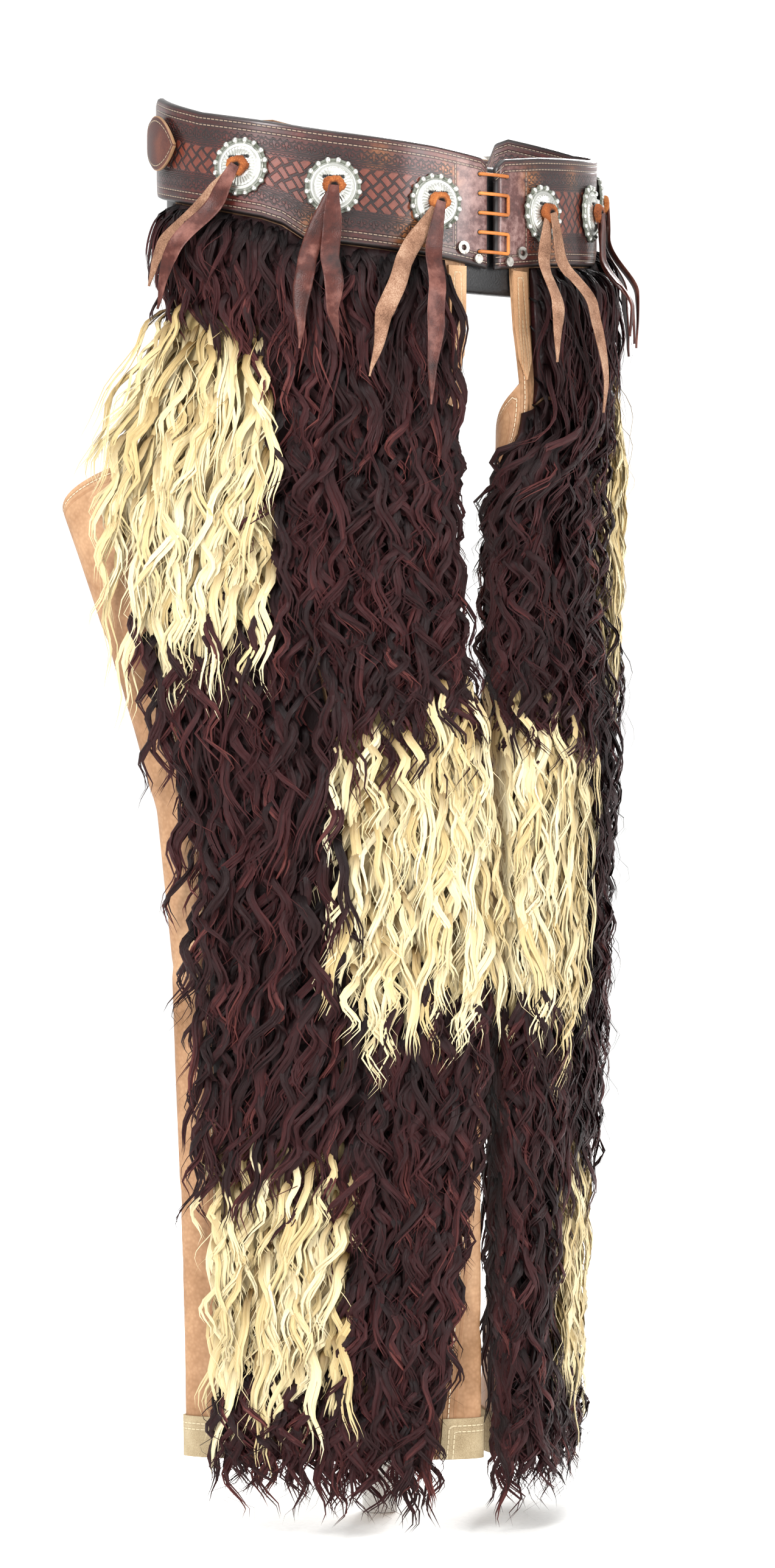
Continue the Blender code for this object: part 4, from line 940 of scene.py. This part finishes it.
def make_fleece(leg, seed):
    """Each patch of hair: its undercoat, its locks and its loose single strands."""
    for place, row in enumerate(PATCHES):
        patch = dict(zip(PATCH_COLUMNS, row))
        draw = np.random.default_rng(seed + place)
        layers = [undercoat(leg, patch)]
        strand = dict(patch, wave=patch["wave"] * 1.6, lift=patch["lift"] * 1.25, rings=11)
        for count, habit, members, width in (
            (patch["clumps"], patch, CLUMP, LOCK_WIDTH),
            (patch["clumps"] // 4, strand, 1, STRAND_WIDTH),
        ):
            turn = (np.arange(count) * GOLDEN + draw.uniform(0.0, 1.0)) % 1.0
            spread = ((np.arange(count) + 0.5) / count) ** (1.35 if patch["upper"] == "belt" else 0.95)
            wrap = OUTER_WRAP * (patch["last"] == COLUMNS and patch["upper"] != "belt")
            column = mix(patch["first"] + 0.1, patch["last"] - 0.1 + wrap, turn)
            top = border_height(patch["upper"], column)
            height = mix(top, border_height(patch["lower"], column) + 6.0, spread)
            if patch["upper"] == "belt":
                height = np.where(np.arange(count) % 5 < 2, top - TOP_ROOTS * (1.0 - spread), height)
            if patch["first"] == 0:
                column = column + BARE_HEM_COLUMNS * (1.0 - ease(height / BARE_HEM_HEIGHT)) * (1.0 - turn)
            share = column_share(column, height) + draw.normal(0.0, 0.006, count)
            layers.append(lock_arrays(*lock_ribbons(leg, draw, height, share, habit, members, width)))
        slot = "cream_fleece" if patch["name"] in CREAM_PATCHES else "dark_fleece"
        make_hair(patch["name"] + "_" + leg.side_name, leg, layers, slot)


def make_hem_locks(leg, seed):
    """The locks that hang over the hem from a narrow strip."""
    draw = np.random.default_rng(seed)
    layers = []
    strand = dict(HEM_HABIT, wave=HEM_HABIT["wave"] * 1.6)
    count = HEM_HABIT["clumps"]
    for habit, members, width in ((HEM_HABIT, CLUMP, LOCK_WIDTH), (strand, 1, STRAND_WIDTH)):
        column = mix(BARE_HEM_COLUMNS, COLUMNS + OUTER_WRAP, (np.arange(count) * GOLDEN) % 1.0)
        height = mix(border_height("hem", column) - 2.0, 24.0, draw.uniform(0.0, 1.0, count))
        share = column_share(column, height)
        layers.append(lock_arrays(*lock_ribbons(leg, draw, height, share, habit, members, width)))
    make_hair("hem_locks_" + leg.side_name, leg, layers, "dark_fleece")


def crease(height, share, rows):
    """Soft troughs: each is a line across the panel with its own place, slope, length and depth."""
    depth = 0.0 * height
    for centre_height, centre_share, slope, long, wide, deep in rows:
        away = height - centre_height - slope * (share - centre_share) * 200.0
        depth = depth - deep * np.exp(-(away / wide) ** 2) * np.exp(-((share - centre_share) / long) ** 2)
    return depth


# Each crease: its height, its share across, its slope, its length, its width and its depth.
BACK_CREASES = (
    (560.0, 0.82, 0.5, 0.16, 7.0, 1.5),
    (520.0, 0.72, 0.6, 0.14, 6.0, 1.2),
    (448.0, 0.8, 0.3, 0.12, 6.0, 1.3),
    (395.0, 0.6, -0.4, 0.2, 7.0, 1.1),
    (340.0, 0.86, 0.2, 0.1, 5.0, 1.2),
    (250.0, 0.5, 0.5, 0.2, 8.0, 1.2),
    (180.0, 0.8, -0.3, 0.14, 6.0, 1.1),
    (96.0, 0.2, 0.4, 0.16, 6.0, 1.3),
    (120.0, 0.62, 0.3, 0.2, 7.0, 1.0),
    (610.0, 0.45, -0.3, 0.2, 8.0, 1.3),
    (300.0, 0.3, -0.5, 0.16, 6.0, 1.0),
)
FRONT_CREASES = ((700.0, 0.1, 0.3, 0.1, 6.0, 0.8), (90.0, 0.05, 0.4, 0.1, 6.0, 0.8))
CUFF_HEIGHT = 28.0
CUFF_THICK = 1.6
STRIP_THICK = 1.8
STRIP_POINT = 14.0
STRIP_LOW = 745.0
STRIP_SHARE = 0.86 / 16.0


def panel_edge(points, top_too):
    """For each point of a grid: the distance to the nearest free edge, and the run along it."""
    across = np.linalg.norm(np.diff(points, axis=1), axis=-1)
    side = np.concatenate((np.zeros((len(points), 1)), np.cumsum(across, axis=1)), axis=1)
    up = np.linalg.norm(np.diff(points, axis=0), axis=-1)
    rise = np.concatenate((np.zeros((1, points.shape[1])), np.cumsum(up, axis=0)), axis=0)
    to_side = np.minimum(side, side[:, -1:] - side)
    to_top = rise[-1:] - rise + (0.0 if top_too else 1e3)
    return np.minimum(to_side, to_top), np.where(to_side < to_top, rise, side)


def shell(name, leg, surface, heights, shares, sign, low, thick, material, lift=0.0, top_too=True):
    """A thin wall that follows a panel between two distances from it, with its stitch lines."""
    points, normals, _ = surface_frame(surface, heights, shares, sign)
    outer = points + normals * (low + thick + lift)[..., None]
    inner = points + normals * (low + lift)[..., None]
    edge, run = panel_edge(outer, top_too)
    return wall(name, outer, inner, material, leg.side, {"edge": edge, "run": run})


def make_panels(leg):
    """The tan leather of one leg as thin shells with soft creases, its cuff and its bound edge."""
    share = np.linspace(0.0, 1.0, 41)
    top = belt_value("bottom", mix(PANEL_START, PANEL_END, share)) + PANEL_TUCK
    heights = mix(0.0 * top, top, np.linspace(0.0, 1.0, 71)[:, None])
    shares = np.broadcast_to(share, heights.shape)
    front = shell("leather_front_" + leg.side_name, leg, leg.front_point, heights, shares, 1.0, -LEATHER, LEATHER,
                  TAN, crease(heights, shares, FRONT_CREASES), False)
    finish_piece(front, "chap_leather", "leg_front_" + leg.side_name)

    share = np.linspace(BACK_SEAM, 1.0 - BACK_SEAM, 61)
    top = np.interp(share, BACK_TOP["share"], BACK_TOP["height"])
    heights = mix(0.0 * top, top, np.linspace(0.0, 1.0, 81)[:, None])
    shares = np.broadcast_to(share, heights.shape)
    back = shell("leather_back_" + leg.side_name, leg, leg.back_point, heights, shares, -1.0, -LEATHER, LEATHER,
                 TAN, crease(heights, shares, BACK_CREASES))
    finish_piece(back, "chap_leather", "leg_back_" + leg.side_name)

    heights = np.broadcast_to(np.linspace(0.0, CUFF_HEIGHT, 9)[:, None], (9, 61))
    shares = np.broadcast_to(share, heights.shape)
    cuff = shell("suede_cuff_" + leg.side_name, leg, leg.back_point, heights, shares, -1.0, GAP, CUFF_THICK,
                 CUFF, 0.0 * heights)
    finish_piece(cuff, "cuff_leather", "cuff_" + leg.side_name)

    share = np.linspace(0.0, STRIP_SHARE, 9)
    top = belt_value("bottom", PANEL_START) - 1.5
    point = STRIP_LOW + STRIP_POINT * np.abs(share / STRIP_SHARE - 0.5) * 2.0
    heights = mix(point, 0.0 * share + top, np.linspace(0.0, 1.0, 31)[:, None])
    shares = np.broadcast_to(share, heights.shape)
    strip = shell("bound_edge_" + leg.side_name, leg, leg.front_point, heights, shares, 1.0, GAP, STRIP_THICK,
                  STRIP, 0.0 * heights)
    finish_piece(strip, "chap_leather", "edge_strip_" + leg.side_name)


# Details of the belt.
LACE_ANGLE = 4.0
LACE_RADIUS = 1.2
LACE_ROWS = (884.8, 871.4, 858.0, 844.6, 831.2)
# Each worn spot: its angle, its height, its width and how much colour is gone.
WORN_SPOTS = ((20.0, 838.0, 15.0, 0.8), (12.0, 884.0, 9.0, 0.6), (46.0, 842.0, 12.0, 0.6), (30.0, 892.0, 9.0, 0.35))


def rolled(edge, reach):
    """How far a rounded edge drops back at a distance from it."""
    share = np.clip(1.0 - edge / reach, 0.0, 1.0)
    return -reach * (1.0 - np.sqrt(np.maximum(1.0 - share * share, 0.0)))


def run_along(path):
    """The length of a path of points up to each of them."""
    return np.concatenate(((0.0,), np.cumsum(np.linalg.norm(np.diff(path, axis=0), axis=1))))


def make_belt(leg):
    """One half of the belt, with rounded edges; its tooling is in its leather."""
    angles = np.linspace(BELT_START, BELT_END, 151)
    run = run_along(belt_point(angles, 0.0, 0.0))
    low, high = belt_value("bottom", angles), belt_value("top", angles)
    share = (1.0 - np.cos(np.linspace(0.0, math.pi, 33)))[:, None] / 2.0
    heights = mix(low, high, mix(share, np.linspace(0.0, 1.0, 33)[:, None], 0.4))
    edge = np.minimum(np.minimum(heights - low, high - heights), run + 0.0 * heights)
    bow = 0.35 * np.sin(angles * 0.31) * np.sin(heights * 0.045)
    outer = belt_point(angles + 0.0 * heights, heights, rolled(edge, 2.2) + bow - 0.35)
    inner = belt_point(angles + 0.0 * heights, heights, -BELT_THICK)
    worn = 0.0 * heights
    for spot_angle, spot_height, wide, deep in WORN_SPOTS:
        away = ((angles - spot_angle) * 3.0 / wide) ** 2 + ((heights - spot_height) / wide) ** 2
        worn = worn + deep * np.exp(-away)
    half = wall("tooled_belt_" + leg.side_name, outer, inner, TOOLED, leg.side, {
        "low": heights - low, "high": high - heights, "run": run, "rise": heights, "worn": np.minimum(worn, 1.0)})
    finish_piece(half, "belt_leather", "belt_" + leg.side_name)


CONCHOS = {"1": (16.0, 862.5), "2": (41.7, 870.5), "3": (67.0, 885.0)}
BERRIES = 16
BERRY_CENTRE = 18.3
BERRY_RADIUS = 2.05
BERRY_LIFT = 1.3
RIM_START = 16.6
RAYS = 32
DOME_RADIUS = 13.0
DOME_TOP = 4.9
DOME_FALL = 1.3
RIM_LEVEL = 2.3
GROOVE_RADIUS = 14.7
SLOT_HALF = (7.6, 1.3)
SLOT_RISE = 6.4


def make_concho(name, leg):
    """A silver dome with rays, a groove, and a ring of round berries whose edge is scalloped."""
    angle, height = CONCHOS[name]
    centre = belt_point(angle, height, GAP)
    normal = belt_normal(np.float64(angle))
    across = np.cross(UP, normal)
    turn = np.linspace(0.0, 2.0 * math.pi, 128, endpoint=False)[None, :]
    beside = ((turn * BERRIES / (2.0 * math.pi)) % 1.0 - 0.5) * 2.0 * math.pi * BERRY_CENTRE / BERRIES
    scallop = BERRY_CENTRE + np.maximum(np.sqrt(np.maximum(BERRY_RADIUS ** 2 - beside ** 2, 0.0)), 0.7)
    inside = np.linspace(0.6, RIM_START, 23)[:, None] + 0.0 * turn
    outside = mix(RIM_START, scallop, np.linspace(0.1, 1.0, 9)[:, None])
    radius = np.concatenate((inside, outside))
    dome = DOME_TOP - DOME_FALL * (radius / DOME_RADIUS) ** 2
    window = ease((radius - 7.0) / 1.5) * (1.0 - ease((radius - 12.0) / 1.2))
    rays = np.cos(turn * RAYS)
    dome = dome + 0.3 * rays * window
    step = ease(radius - DOME_RADIUS)
    lift = mix(dome, RIM_LEVEL + 0.0 * dome, step) + 0.5 * np.exp(-((radius - GROOVE_RADIUS) / 0.5) ** 2)
    away = np.hypot(radius - BERRY_CENTRE, beside + 0.0 * radius)
    berry = BERRY_LIFT + np.sqrt(np.maximum(BERRY_RADIUS ** 2 - away ** 2, 0.0))
    lift = np.where(radius > RIM_START - 0.6, np.maximum(berry, 0.9), lift)
    hollow = 0.55 * (0.5 - 0.5 * rays) * window + 0.9 * np.exp(-((radius - 16.0) / 0.8) ** 2)
    hollow = hollow + 0.7 * np.exp(-((radius - 13.4) / 0.4) ** 2)
    hollow = hollow + 0.9 * (away > BERRY_RADIUS - 0.3) * (radius > RIM_START)
    circle = np.cos(turn)[..., None] * across + np.sin(turn)[..., None] * UP
    beads = centre + circle * radius[..., None] + normal * lift[..., None]
    rim = beads[-1:] - normal * (lift[-1:] - 0.1)[..., None]
    # The slot's place on the concho, where the silver is painted near-black as painted shade.
    slot_x, slot_z = radius * np.cos(turn), radius * np.sin(turn)
    slot = (np.abs(slot_x) < SLOT_HALF[0]) * (np.abs(slot_z - SLOT_RISE) < SLOT_HALF[1])
    loops = np.concatenate((rim, beads[::-1]))
    dark = np.concatenate((hollow[-1:], hollow[::-1]))
    slot = np.concatenate((slot[-1:], slot[::-1])).astype(float)
    made = sweep("silver_concho_%s_%s" % (leg.side_name, name), [loops], SILVER, leg.side,
                 {"hollow": np.clip(dark, 0.0, 1.0), "slot": slot}, 50.0)
    finish_piece(made, "concho_silver", "concho_%s_%s" % (leg.side_name, name))


STRING_WIDTH = 13.0
TAIL_SHARES = (0.0, 0.45, 1.0)
TAIL_REST = 7.2
TAIL_STACK = 1.3
TAIL_SWELL = 20.0
LOOP_OUT = 5.5
LOOP_ROWS = ((1.0, 0.0), (1.04, 1.4), (1.0, 2.8), (0.84, 3.9), (0.55, 4.3), (0.26, 4.1), (0.12, 3.3))
LOOP_HALF_WIDE = 8.0
LOOP_HALF_HIGH = 6.6
TAILS = {
    "right_1": (((16.0, 30.0, 40.0), (862.5, 800.0, 738.0), 1.0), ((16.0, 21.0, 26.0), (862.5, 790.0, 720.0), 0.0)),
    "right_2": (((41.7, 49.0, 55.0), (870.5, 815.0, 756.0), 0.0), ((41.7, 43.0, 46.0), (870.5, 815.0, 760.0), 0.0)),
    "right_3": (((67.0, 82.0, 92.0), (885.0, 848.0, 803.0), 1.0), ((67.0, 79.0, 90.0), (885.0, 838.0, 785.0), 0.0)),
    "left_1": (((16.0, 12.0, 9.0), (862.5, 806.0, 752.0), 1.0), ((16.0, 23.0, 32.0), (862.5, 792.0, 722.0), 1.0)),
    "left_2": (((41.7, 47.0, 53.0), (870.5, 832.0, 779.0), 0.0), ((41.7, 44.0, 46.0), (870.5, 834.0, 782.0), 0.0)),
    "left_3": (((67.0, 71.0, 75.0), (885.0, 838.0, 774.0), 0.0), ((67.0, 64.0, 60.0), (885.0, 834.0, 778.0), 0.0)),
}
TAIL_SIDES = 14


def tail_loops(leg, angles, heights, lift, cup):
    """A soft flat tail that lies on the concho and the belt, then on the hair, down to its point."""
    share = np.linspace(0.0, 1.0, 46)
    angle = np.interp(share, TAIL_SHARES, angles)
    height = np.interp(share, TAIL_SHARES, heights)
    for _ in range(30):
        angle[1:-1] = (angle[:-2] + 2.0 * angle[1:-1] + angle[2:]) / 4.0
        height[1:-1] = (height[:-2] + 2.0 * height[1:-1] + height[2:]) / 4.0
    foot, normal, _ = surface_frame(leg.front_point, height, (angle - PANEL_START) / (PANEL_END - PANEL_START))
    below = belt_value("bottom", angle) - height
    out = PANEL_DEPTH + TAIL_REST + lift + TAIL_SWELL * ease((below + 8.0) / 40.0)
    middle = foot + normal * (out + 0.8 * np.sin(share * 9.0 + lift))[:, None]
    across = unit(np.cross(np.gradient(middle, axis=0), normal))
    half = STRING_WIDTH / 2.0 * np.clip((1.0 - share) / 0.4, 0.06, 1.0) ** 0.8 * np.clip(0.55 + share * 2.4, 0.0, 1.0)
    turn = np.arange(TAIL_SIDES) * 2.0 * math.pi / TAIL_SIDES
    wide = np.sign(np.cos(turn)) * np.abs(np.cos(turn)) ** 0.45
    thick = np.sin(turn) * np.abs(np.cos(turn)) ** 0.1 * 0.95
    bowl = cup * (wide * wide)[None, :] * (half / 6.5)[:, None]
    swing = 0.5 * np.sin(share * 17.0 + lift * 3.0)
    return (middle[:, None, :] + across[:, None, :] * (half[:, None] * wide + swing[:, None])[..., None]
            + normal[:, None, :] * (thick + bowl)[..., None])


def make_string(name, leg):
    """One leather string: a rough suede loop that comes out of the slot, and two tails."""
    angle, height = CONCHOS[name]
    centre = belt_point(angle, height, GAP)
    normal = belt_normal(np.float64(angle))
    across = np.cross(UP, normal)
    turn = np.arange(48) * 2.0 * math.pi / 48
    ragged = 1.0 + 0.05 * np.sin(5.0 * turn + angle) + 0.03 * np.sin(13.0 * turn)
    neck = 1.0 - 0.3 * np.clip(-np.sin(turn), 0.0, 1.0)
    oval = (across * (LOOP_HALF_WIDE * neck * ragged * np.cos(turn))[:, None]
            + UP * (LOOP_HALF_HIGH * ragged * np.sin(turn))[:, None])
    loop = np.array([centre + oval * size + normal * (LOOP_OUT + lift) for size, lift in LOOP_ROWS])
    full_name = "%s_%s" % (leg.side_name, name)
    strips, nap = [loop], [np.full(loop.shape[:2], 0.5)]
    # The last two rows of the loop are marked for the painted shade of its opening.
    hole = [np.broadcast_to(np.array([row >= 5 for row in range(len(LOOP_ROWS))])[:, None], loop.shape[:2])]
    for place, (angles, heights, suede_side) in enumerate(TAILS[full_name]):
        tail = tail_loops(leg, angles, heights, place * TAIL_STACK, 1.3 if place else -0.9)
        strips.append(tail)
        nap.append(np.full(tail.shape[:2], suede_side))
        hole.append(np.zeros(tail.shape[:2]))
    made = sweep("leather_string_" + full_name, strips, STRING, leg.side, {
        "nap": np.concatenate([part.ravel() for part in nap]),
        "hole": np.concatenate([part.ravel() for part in hole])}, 60.0)
    finish_piece(made, "string_leather", "string_" + full_name)


def tube_loops(path, radius, sides):
    """Closed rings round a path of points, turned as little as possible from one to the next."""
    tangent = unit(np.gradient(path, axis=0))
    across = np.cross(tangent[0], UP)
    if np.linalg.norm(across) < 0.1:
        across = np.cross(tangent[0], (1.0, 0.0, 0.0))
    turn = np.arange(sides) * 2.0 * math.pi / sides
    rings = []
    for point, direction in zip(path, tangent):
        across = unit(across - direction * np.dot(across, direction))
        other = np.cross(direction, across)
        rings.append(point + (np.cos(turn)[:, None] * across + np.sin(turn)[:, None] * other) * radius)
    return np.array(rings)


def soft_path(points, reach, steps=4):
    """Round each inner corner of a path by a short curve, and split its straight runs."""
    made = [points[0]]
    for before, corner, after in zip(points, points[1:], points[2:]):
        enter = corner + unit(before - corner) * reach
        leave = corner + unit(after - corner) * reach
        for share in np.linspace(0.0, 1.0, steps):
            made.append(mix(mix(enter, corner, share), mix(corner, leave, share), share))
    made.append(points[-1])
    return np.array(made)


def make_lace():
    """One lace: it crosses the gap in five rows and changes rows inside or outside the belt."""
    outside = GAP + LACE_RADIUS + 0.15
    inside = -(BELT_THICK + GAP + LACE_RADIUS + 0.15)
    end = -BELT_THICK / 2.0

    def spot(side, row, out):
        return belt_point(LACE_ANGLE, LACE_ROWS[row], out) * np.array((SIDES[side], 1.0, 1.0))

    def bulge(row):
        return np.array((0.0, -BELT_B - outside - 0.4, HEM + LACE_ROWS[row]))

    path = [spot("left", 0, end), spot("left", 0, outside), bulge(0), spot("right", 0, outside)]
    path += [spot("right", 0, inside), spot("right", 1, inside)]
    path += [spot("right", 1, outside), bulge(1), spot("left", 1, outside), spot("left", 2, outside)]
    path += [bulge(2), spot("right", 2, outside), spot("right", 2, inside), spot("right", 3, inside)]
    path += [spot("right", 3, outside), bulge(3), spot("left", 3, outside), spot("left", 4, outside)]
    path += [bulge(4), spot("right", 4, outside), spot("right", 4, end)]
    loops = tube_loops(soft_path(np.array(path), 1.2), LACE_RADIUS, 10)
    finish_piece(sweep("orange_front_lace", [loops], LACE, 1.0, None, 80.0), "lace_leather", "front_lace")


STRAP_HOLES = (231.5, 239.0, 246.0)
STRAP_HALF = 14.5
STRAP_LEVEL = 911.0
STRAP_CLIMB = 0.38
STRAP_CLIMB_SPAN = 70.0
STRAP_ANGLES = (104.0, 247.5, 251.8, 256.0)
STRAP_REACH = (1.0, 1.0, 0.8, 0.25)
STRAP_FACES = (3.4, 0.4)
TAB_HALF = 19.0
TAB_ANGLES = (91.0, 121.0)
TAB_FACES = (6.2, 3.8)
MM_PER_DEGREE = 2.6
NO_HOLE = 20.0


def strap_height(angle):
    """The strap climbs to the back with the belt and comes down on the other side."""
    return STRAP_LEVEL + STRAP_CLIMB * (STRAP_CLIMB_SPAN - np.abs(angle - 180.0))


def make_strap():
    """The strap across the back with its stitched edges and its holes, and the sewn tab."""
    angles = np.linspace(STRAP_ANGLES[0], STRAP_ANGLES[-1], 141)
    reach = np.interp(angles, STRAP_ANGLES, STRAP_REACH)
    share = np.linspace(-1.0, 1.0, 17)[:, None]
    run = run_along(belt_point(angles, strap_height(angles), 0.0))
    heights = strap_height(angles) + STRAP_HALF * reach * share
    edge = STRAP_HALF * reach * (1.0 - np.abs(share))
    outer = belt_point(angles + 0.0 * heights, heights, STRAP_FACES[0] + rolled(edge, 1.4))
    inner = belt_point(angles + 0.0 * heights, heights, STRAP_FACES[1] + 0.0 * heights)
    holes = np.min([np.hypot(run - np.interp(hole, angles, run), STRAP_HALF * share)
                    for hole in STRAP_HOLES], axis=0)
    strap = wall("strap_over_back", outer, inner, STRAP, -1.0, {"edge": edge, "run": run, "hole": holes})
    finish_piece(strap, "belt_leather", "back_strap")

    share = np.linspace(0.0, 1.0, 61)
    angles = mix(TAB_ANGLES[0], TAB_ANGLES[1], share)
    reach = TAB_HALF * np.clip(np.sin(math.pi * share ** 0.75), 0.06, 1.0)
    across = np.linspace(-1.0, 1.0, 17)[:, None]
    heights = strap_height(angles) + reach * across
    edge = reach * (1.0 - np.abs(across)) + 0.0 * heights
    outer = belt_point(angles + 0.0 * heights, heights, TAB_FACES[0] + rolled(edge, 1.2))
    inner = belt_point(angles + 0.0 * heights, heights, TAB_FACES[1] + 0.0 * heights)
    tab = wall("sewn_tab", outer, inner, STRAP, -1.0, {
        "edge": edge, "run": angles * MM_PER_DEGREE, "hole": NO_HOLE})
    finish_piece(tab, "belt_leather", "strap_tab")


def paint_metal():
    """The metal nodes keep their shape from the solids and take the worn nickel."""
    for node in ("buckle_frame", "buckle_tongue", "belt_eyelet_right", "belt_eyelet_left",
                 "belt_rivet_right", "belt_rivet_left"):
        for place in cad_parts[node].material_slots:
            place.material = METAL


# The form: its inset from the belt, the slopes of its two ends, and the rounding of their rims.
FORM_INSET = 7.8
FORM_ENDS = {"low": (862.0, 0.22), "high": (952.0, 0.17)}
FORM_ROWS = (
    (7.0, "low", 0.0), (3.0, "low", 1.2), (0.8, "low", 3.4), (0.0, "low", 6.5),
    (0.0, "high", -5.5), (0.7, "high", -2.8), (2.4, "high", -0.8), (5.0, "high", 0.0),
)
BASE_Y = -28.0
BASE_ROWS = ((173.5, 0.0), (174.6, 0.5), (175.0, 1.5), (175.0, 6.5), (174.6, 7.5), (173.5, 8.0))
POLE_RADIUS = 12.5
POLE_FOOT = 8.3
STAND_SIDES = 160


def form_level(end, y):
    """The height of one of the form's slanting ends, from front to back."""
    level, slope = FORM_ENDS[end]
    return level + slope * (y + BELT_B)


def make_stand():
    """The black form and its plain stand, turned round as smooth rings."""
    turn = np.arange(STAND_SIDES) * 2.0 * math.pi / STAND_SIDES
    circle = np.stack((np.cos(turn), np.sin(turn), 0.0 * turn), axis=-1)
    rings = []
    for shrink, end, lift in FORM_ROWS:
        ring = circle * np.array((BELT_A - FORM_INSET - shrink, BELT_B - FORM_INSET - shrink, 0.0))
        ring[:, 2] = form_level(end, ring[:, 1]) + lift
        rings.append(ring)
    finish_piece(sweep("hip_form_cover", [np.array(rings)], FORM_BLACK, 1.0, None, 60.0), "form_black", "hip_form")
    rings = [circle * radius + np.array((0.0, BASE_Y, z)) for radius, z in BASE_ROWS]
    finish_piece(sweep("round_base", [np.array(rings)], WHITE, 1.0, None, 60.0), "stand_white", "stand_base")
    half = circle[::4] * POLE_RADIUS
    foot = half + np.array((0.0, 0.0, POLE_FOOT))
    head = half.copy()
    head[:, 2] = form_level("low", half[:, 1]) - GAP
    finish_piece(sweep("slim_pole", [np.array([foot, head])], WHITE, 1.0), "stand_white", "stand_pole")


def aim_at(place, aim):
    """The turn that points a lamp or camera from one place to another."""
    x, y, z = np.array(aim, dtype=float) - np.array(place, dtype=float)
    return (math.atan2(math.hypot(x, y), -z), 0.0, math.atan2(y, x) - math.pi / 2.0)


# The studio, in metres: its floor, the bend behind it, and how much floor and sky glow.
FLOOR_HALF = 13.0
FLOOR_FRONT = -12.0
BEND_START = 10.0
BEND_RADIUS = 2.0
WALL_TOP = 10.0
FLOOR_GLOW = 0.25
SKY_GLOW = 0.75


def make_studio():
    """A pale floor that curves up behind, soft lights, and the photograph's camera."""
    paint = Paint("pale_floor", Roughness=0.9, Emission_Strength=FLOOR_GLOW)
    speck = paint.noise(paint.place(), 40.0, 2.0)
    paint.feed("Base Color", paint.ramp(speck, (0.3, "f6f6f5"), (0.7, "f9f9f8")))
    bend = np.linspace(0.0, math.pi / 2.0, 12)
    profile = [(FLOOR_FRONT, 0.0)]
    profile += [(BEND_START + BEND_RADIUS * math.sin(a), BEND_RADIUS - BEND_RADIUS * math.cos(a)) for a in bend]
    profile += [(BEND_START + BEND_RADIUS, WALL_TOP)]
    back = np.array((math.sin(VIEW_AZIMUTH), math.cos(VIEW_AZIMUTH), 0.0))
    across = np.array((math.cos(VIEW_AZIMUTH), -math.sin(VIEW_AZIMUTH), 0.0))
    rows = [[back * depth + across * x + UP * z for x in (-FLOOR_HALF, FLOOR_HALF)] for depth, z in profile]
    quads = [(2 * i, 2 * i + 1, 2 * i + 3, 2 * i + 2) for i in range(len(profile) - 1)]
    mesh = bpy.data.meshes.new("studio_floor")
    mesh.from_pydata(np.array(rows).reshape(-1, 3).tolist(), [], quads)
    mesh.shade_smooth()
    mesh.materials.append(paint.material)
    floor = bpy.data.objects.new("studio_floor", mesh)
    bpy.context.scene.collection.objects.link(floor)

    for name, place, size, power in (
        ("key", (-2.6, -1.3, 2.2), (0.9, 1.4), 105.0),
        ("fill", (0.9, -3.0, 1.5), (1.2, 1.4), 58.0),
        ("rim", (2.2, 1.6, 2.2), (1.0, 1.4), 90.0),
        ("top", (0.0, 0.0, 3.2), (1.8, 1.8), 30.0),
    ):
        data = bpy.data.lights.new(name, "AREA")
        data.shape = "RECTANGLE"
        data.size, data.size_y = size
        data.energy = power
        made = bpy.data.objects.new(name, data)
        made.location = place
        made.rotation_euler = aim_at(place, (0.0, 0.0, 0.55))
        bpy.context.scene.collection.objects.link(made)

    world = bpy.data.worlds.new("studio")
    bpy.context.scene.world = world
    world.use_nodes = True
    world.node_tree.nodes["Background"].inputs[0].default_value = (1.0, 1.0, 1.0, 1.0)
    world.node_tree.nodes["Background"].inputs[1].default_value = SKY_GLOW
    bpy.context.scene.view_settings.view_transform = "Standard"

    camera = bpy.data.cameras.new("photo_view")
    camera.sensor_width = SENSOR
    camera.lens = SENSOR * VIEW_DISTANCE / FRAME_TALL
    made = bpy.data.objects.new("photo_view", camera)
    shift = (IMAGE_WIDTH_PX / 2.0 - AXIS_PX) * FRAME_TALL / IMAGE_HEIGHT_PX
    place = across * shift - back * VIEW_DISTANCE + UP * VIEW_HEIGHT
    made.location = place
    made.rotation_euler = aim_at(place, place + back)
    bpy.context.scene.collection.objects.link(made)
    bpy.context.scene.camera = made


make_studio()
make_stand()
for seed, side in enumerate(SIDES):
    leg = Leg(side)
    make_panels(leg)
    make_belt(leg)
    make_fleece(leg, 100 + 50 * seed)
    make_hem_locks(leg, 140 + 50 * seed)
    for concho in CONCHOS:
        make_concho(concho, leg)
        make_string(concho, leg)
make_lace()
make_strap()
paint_metal()
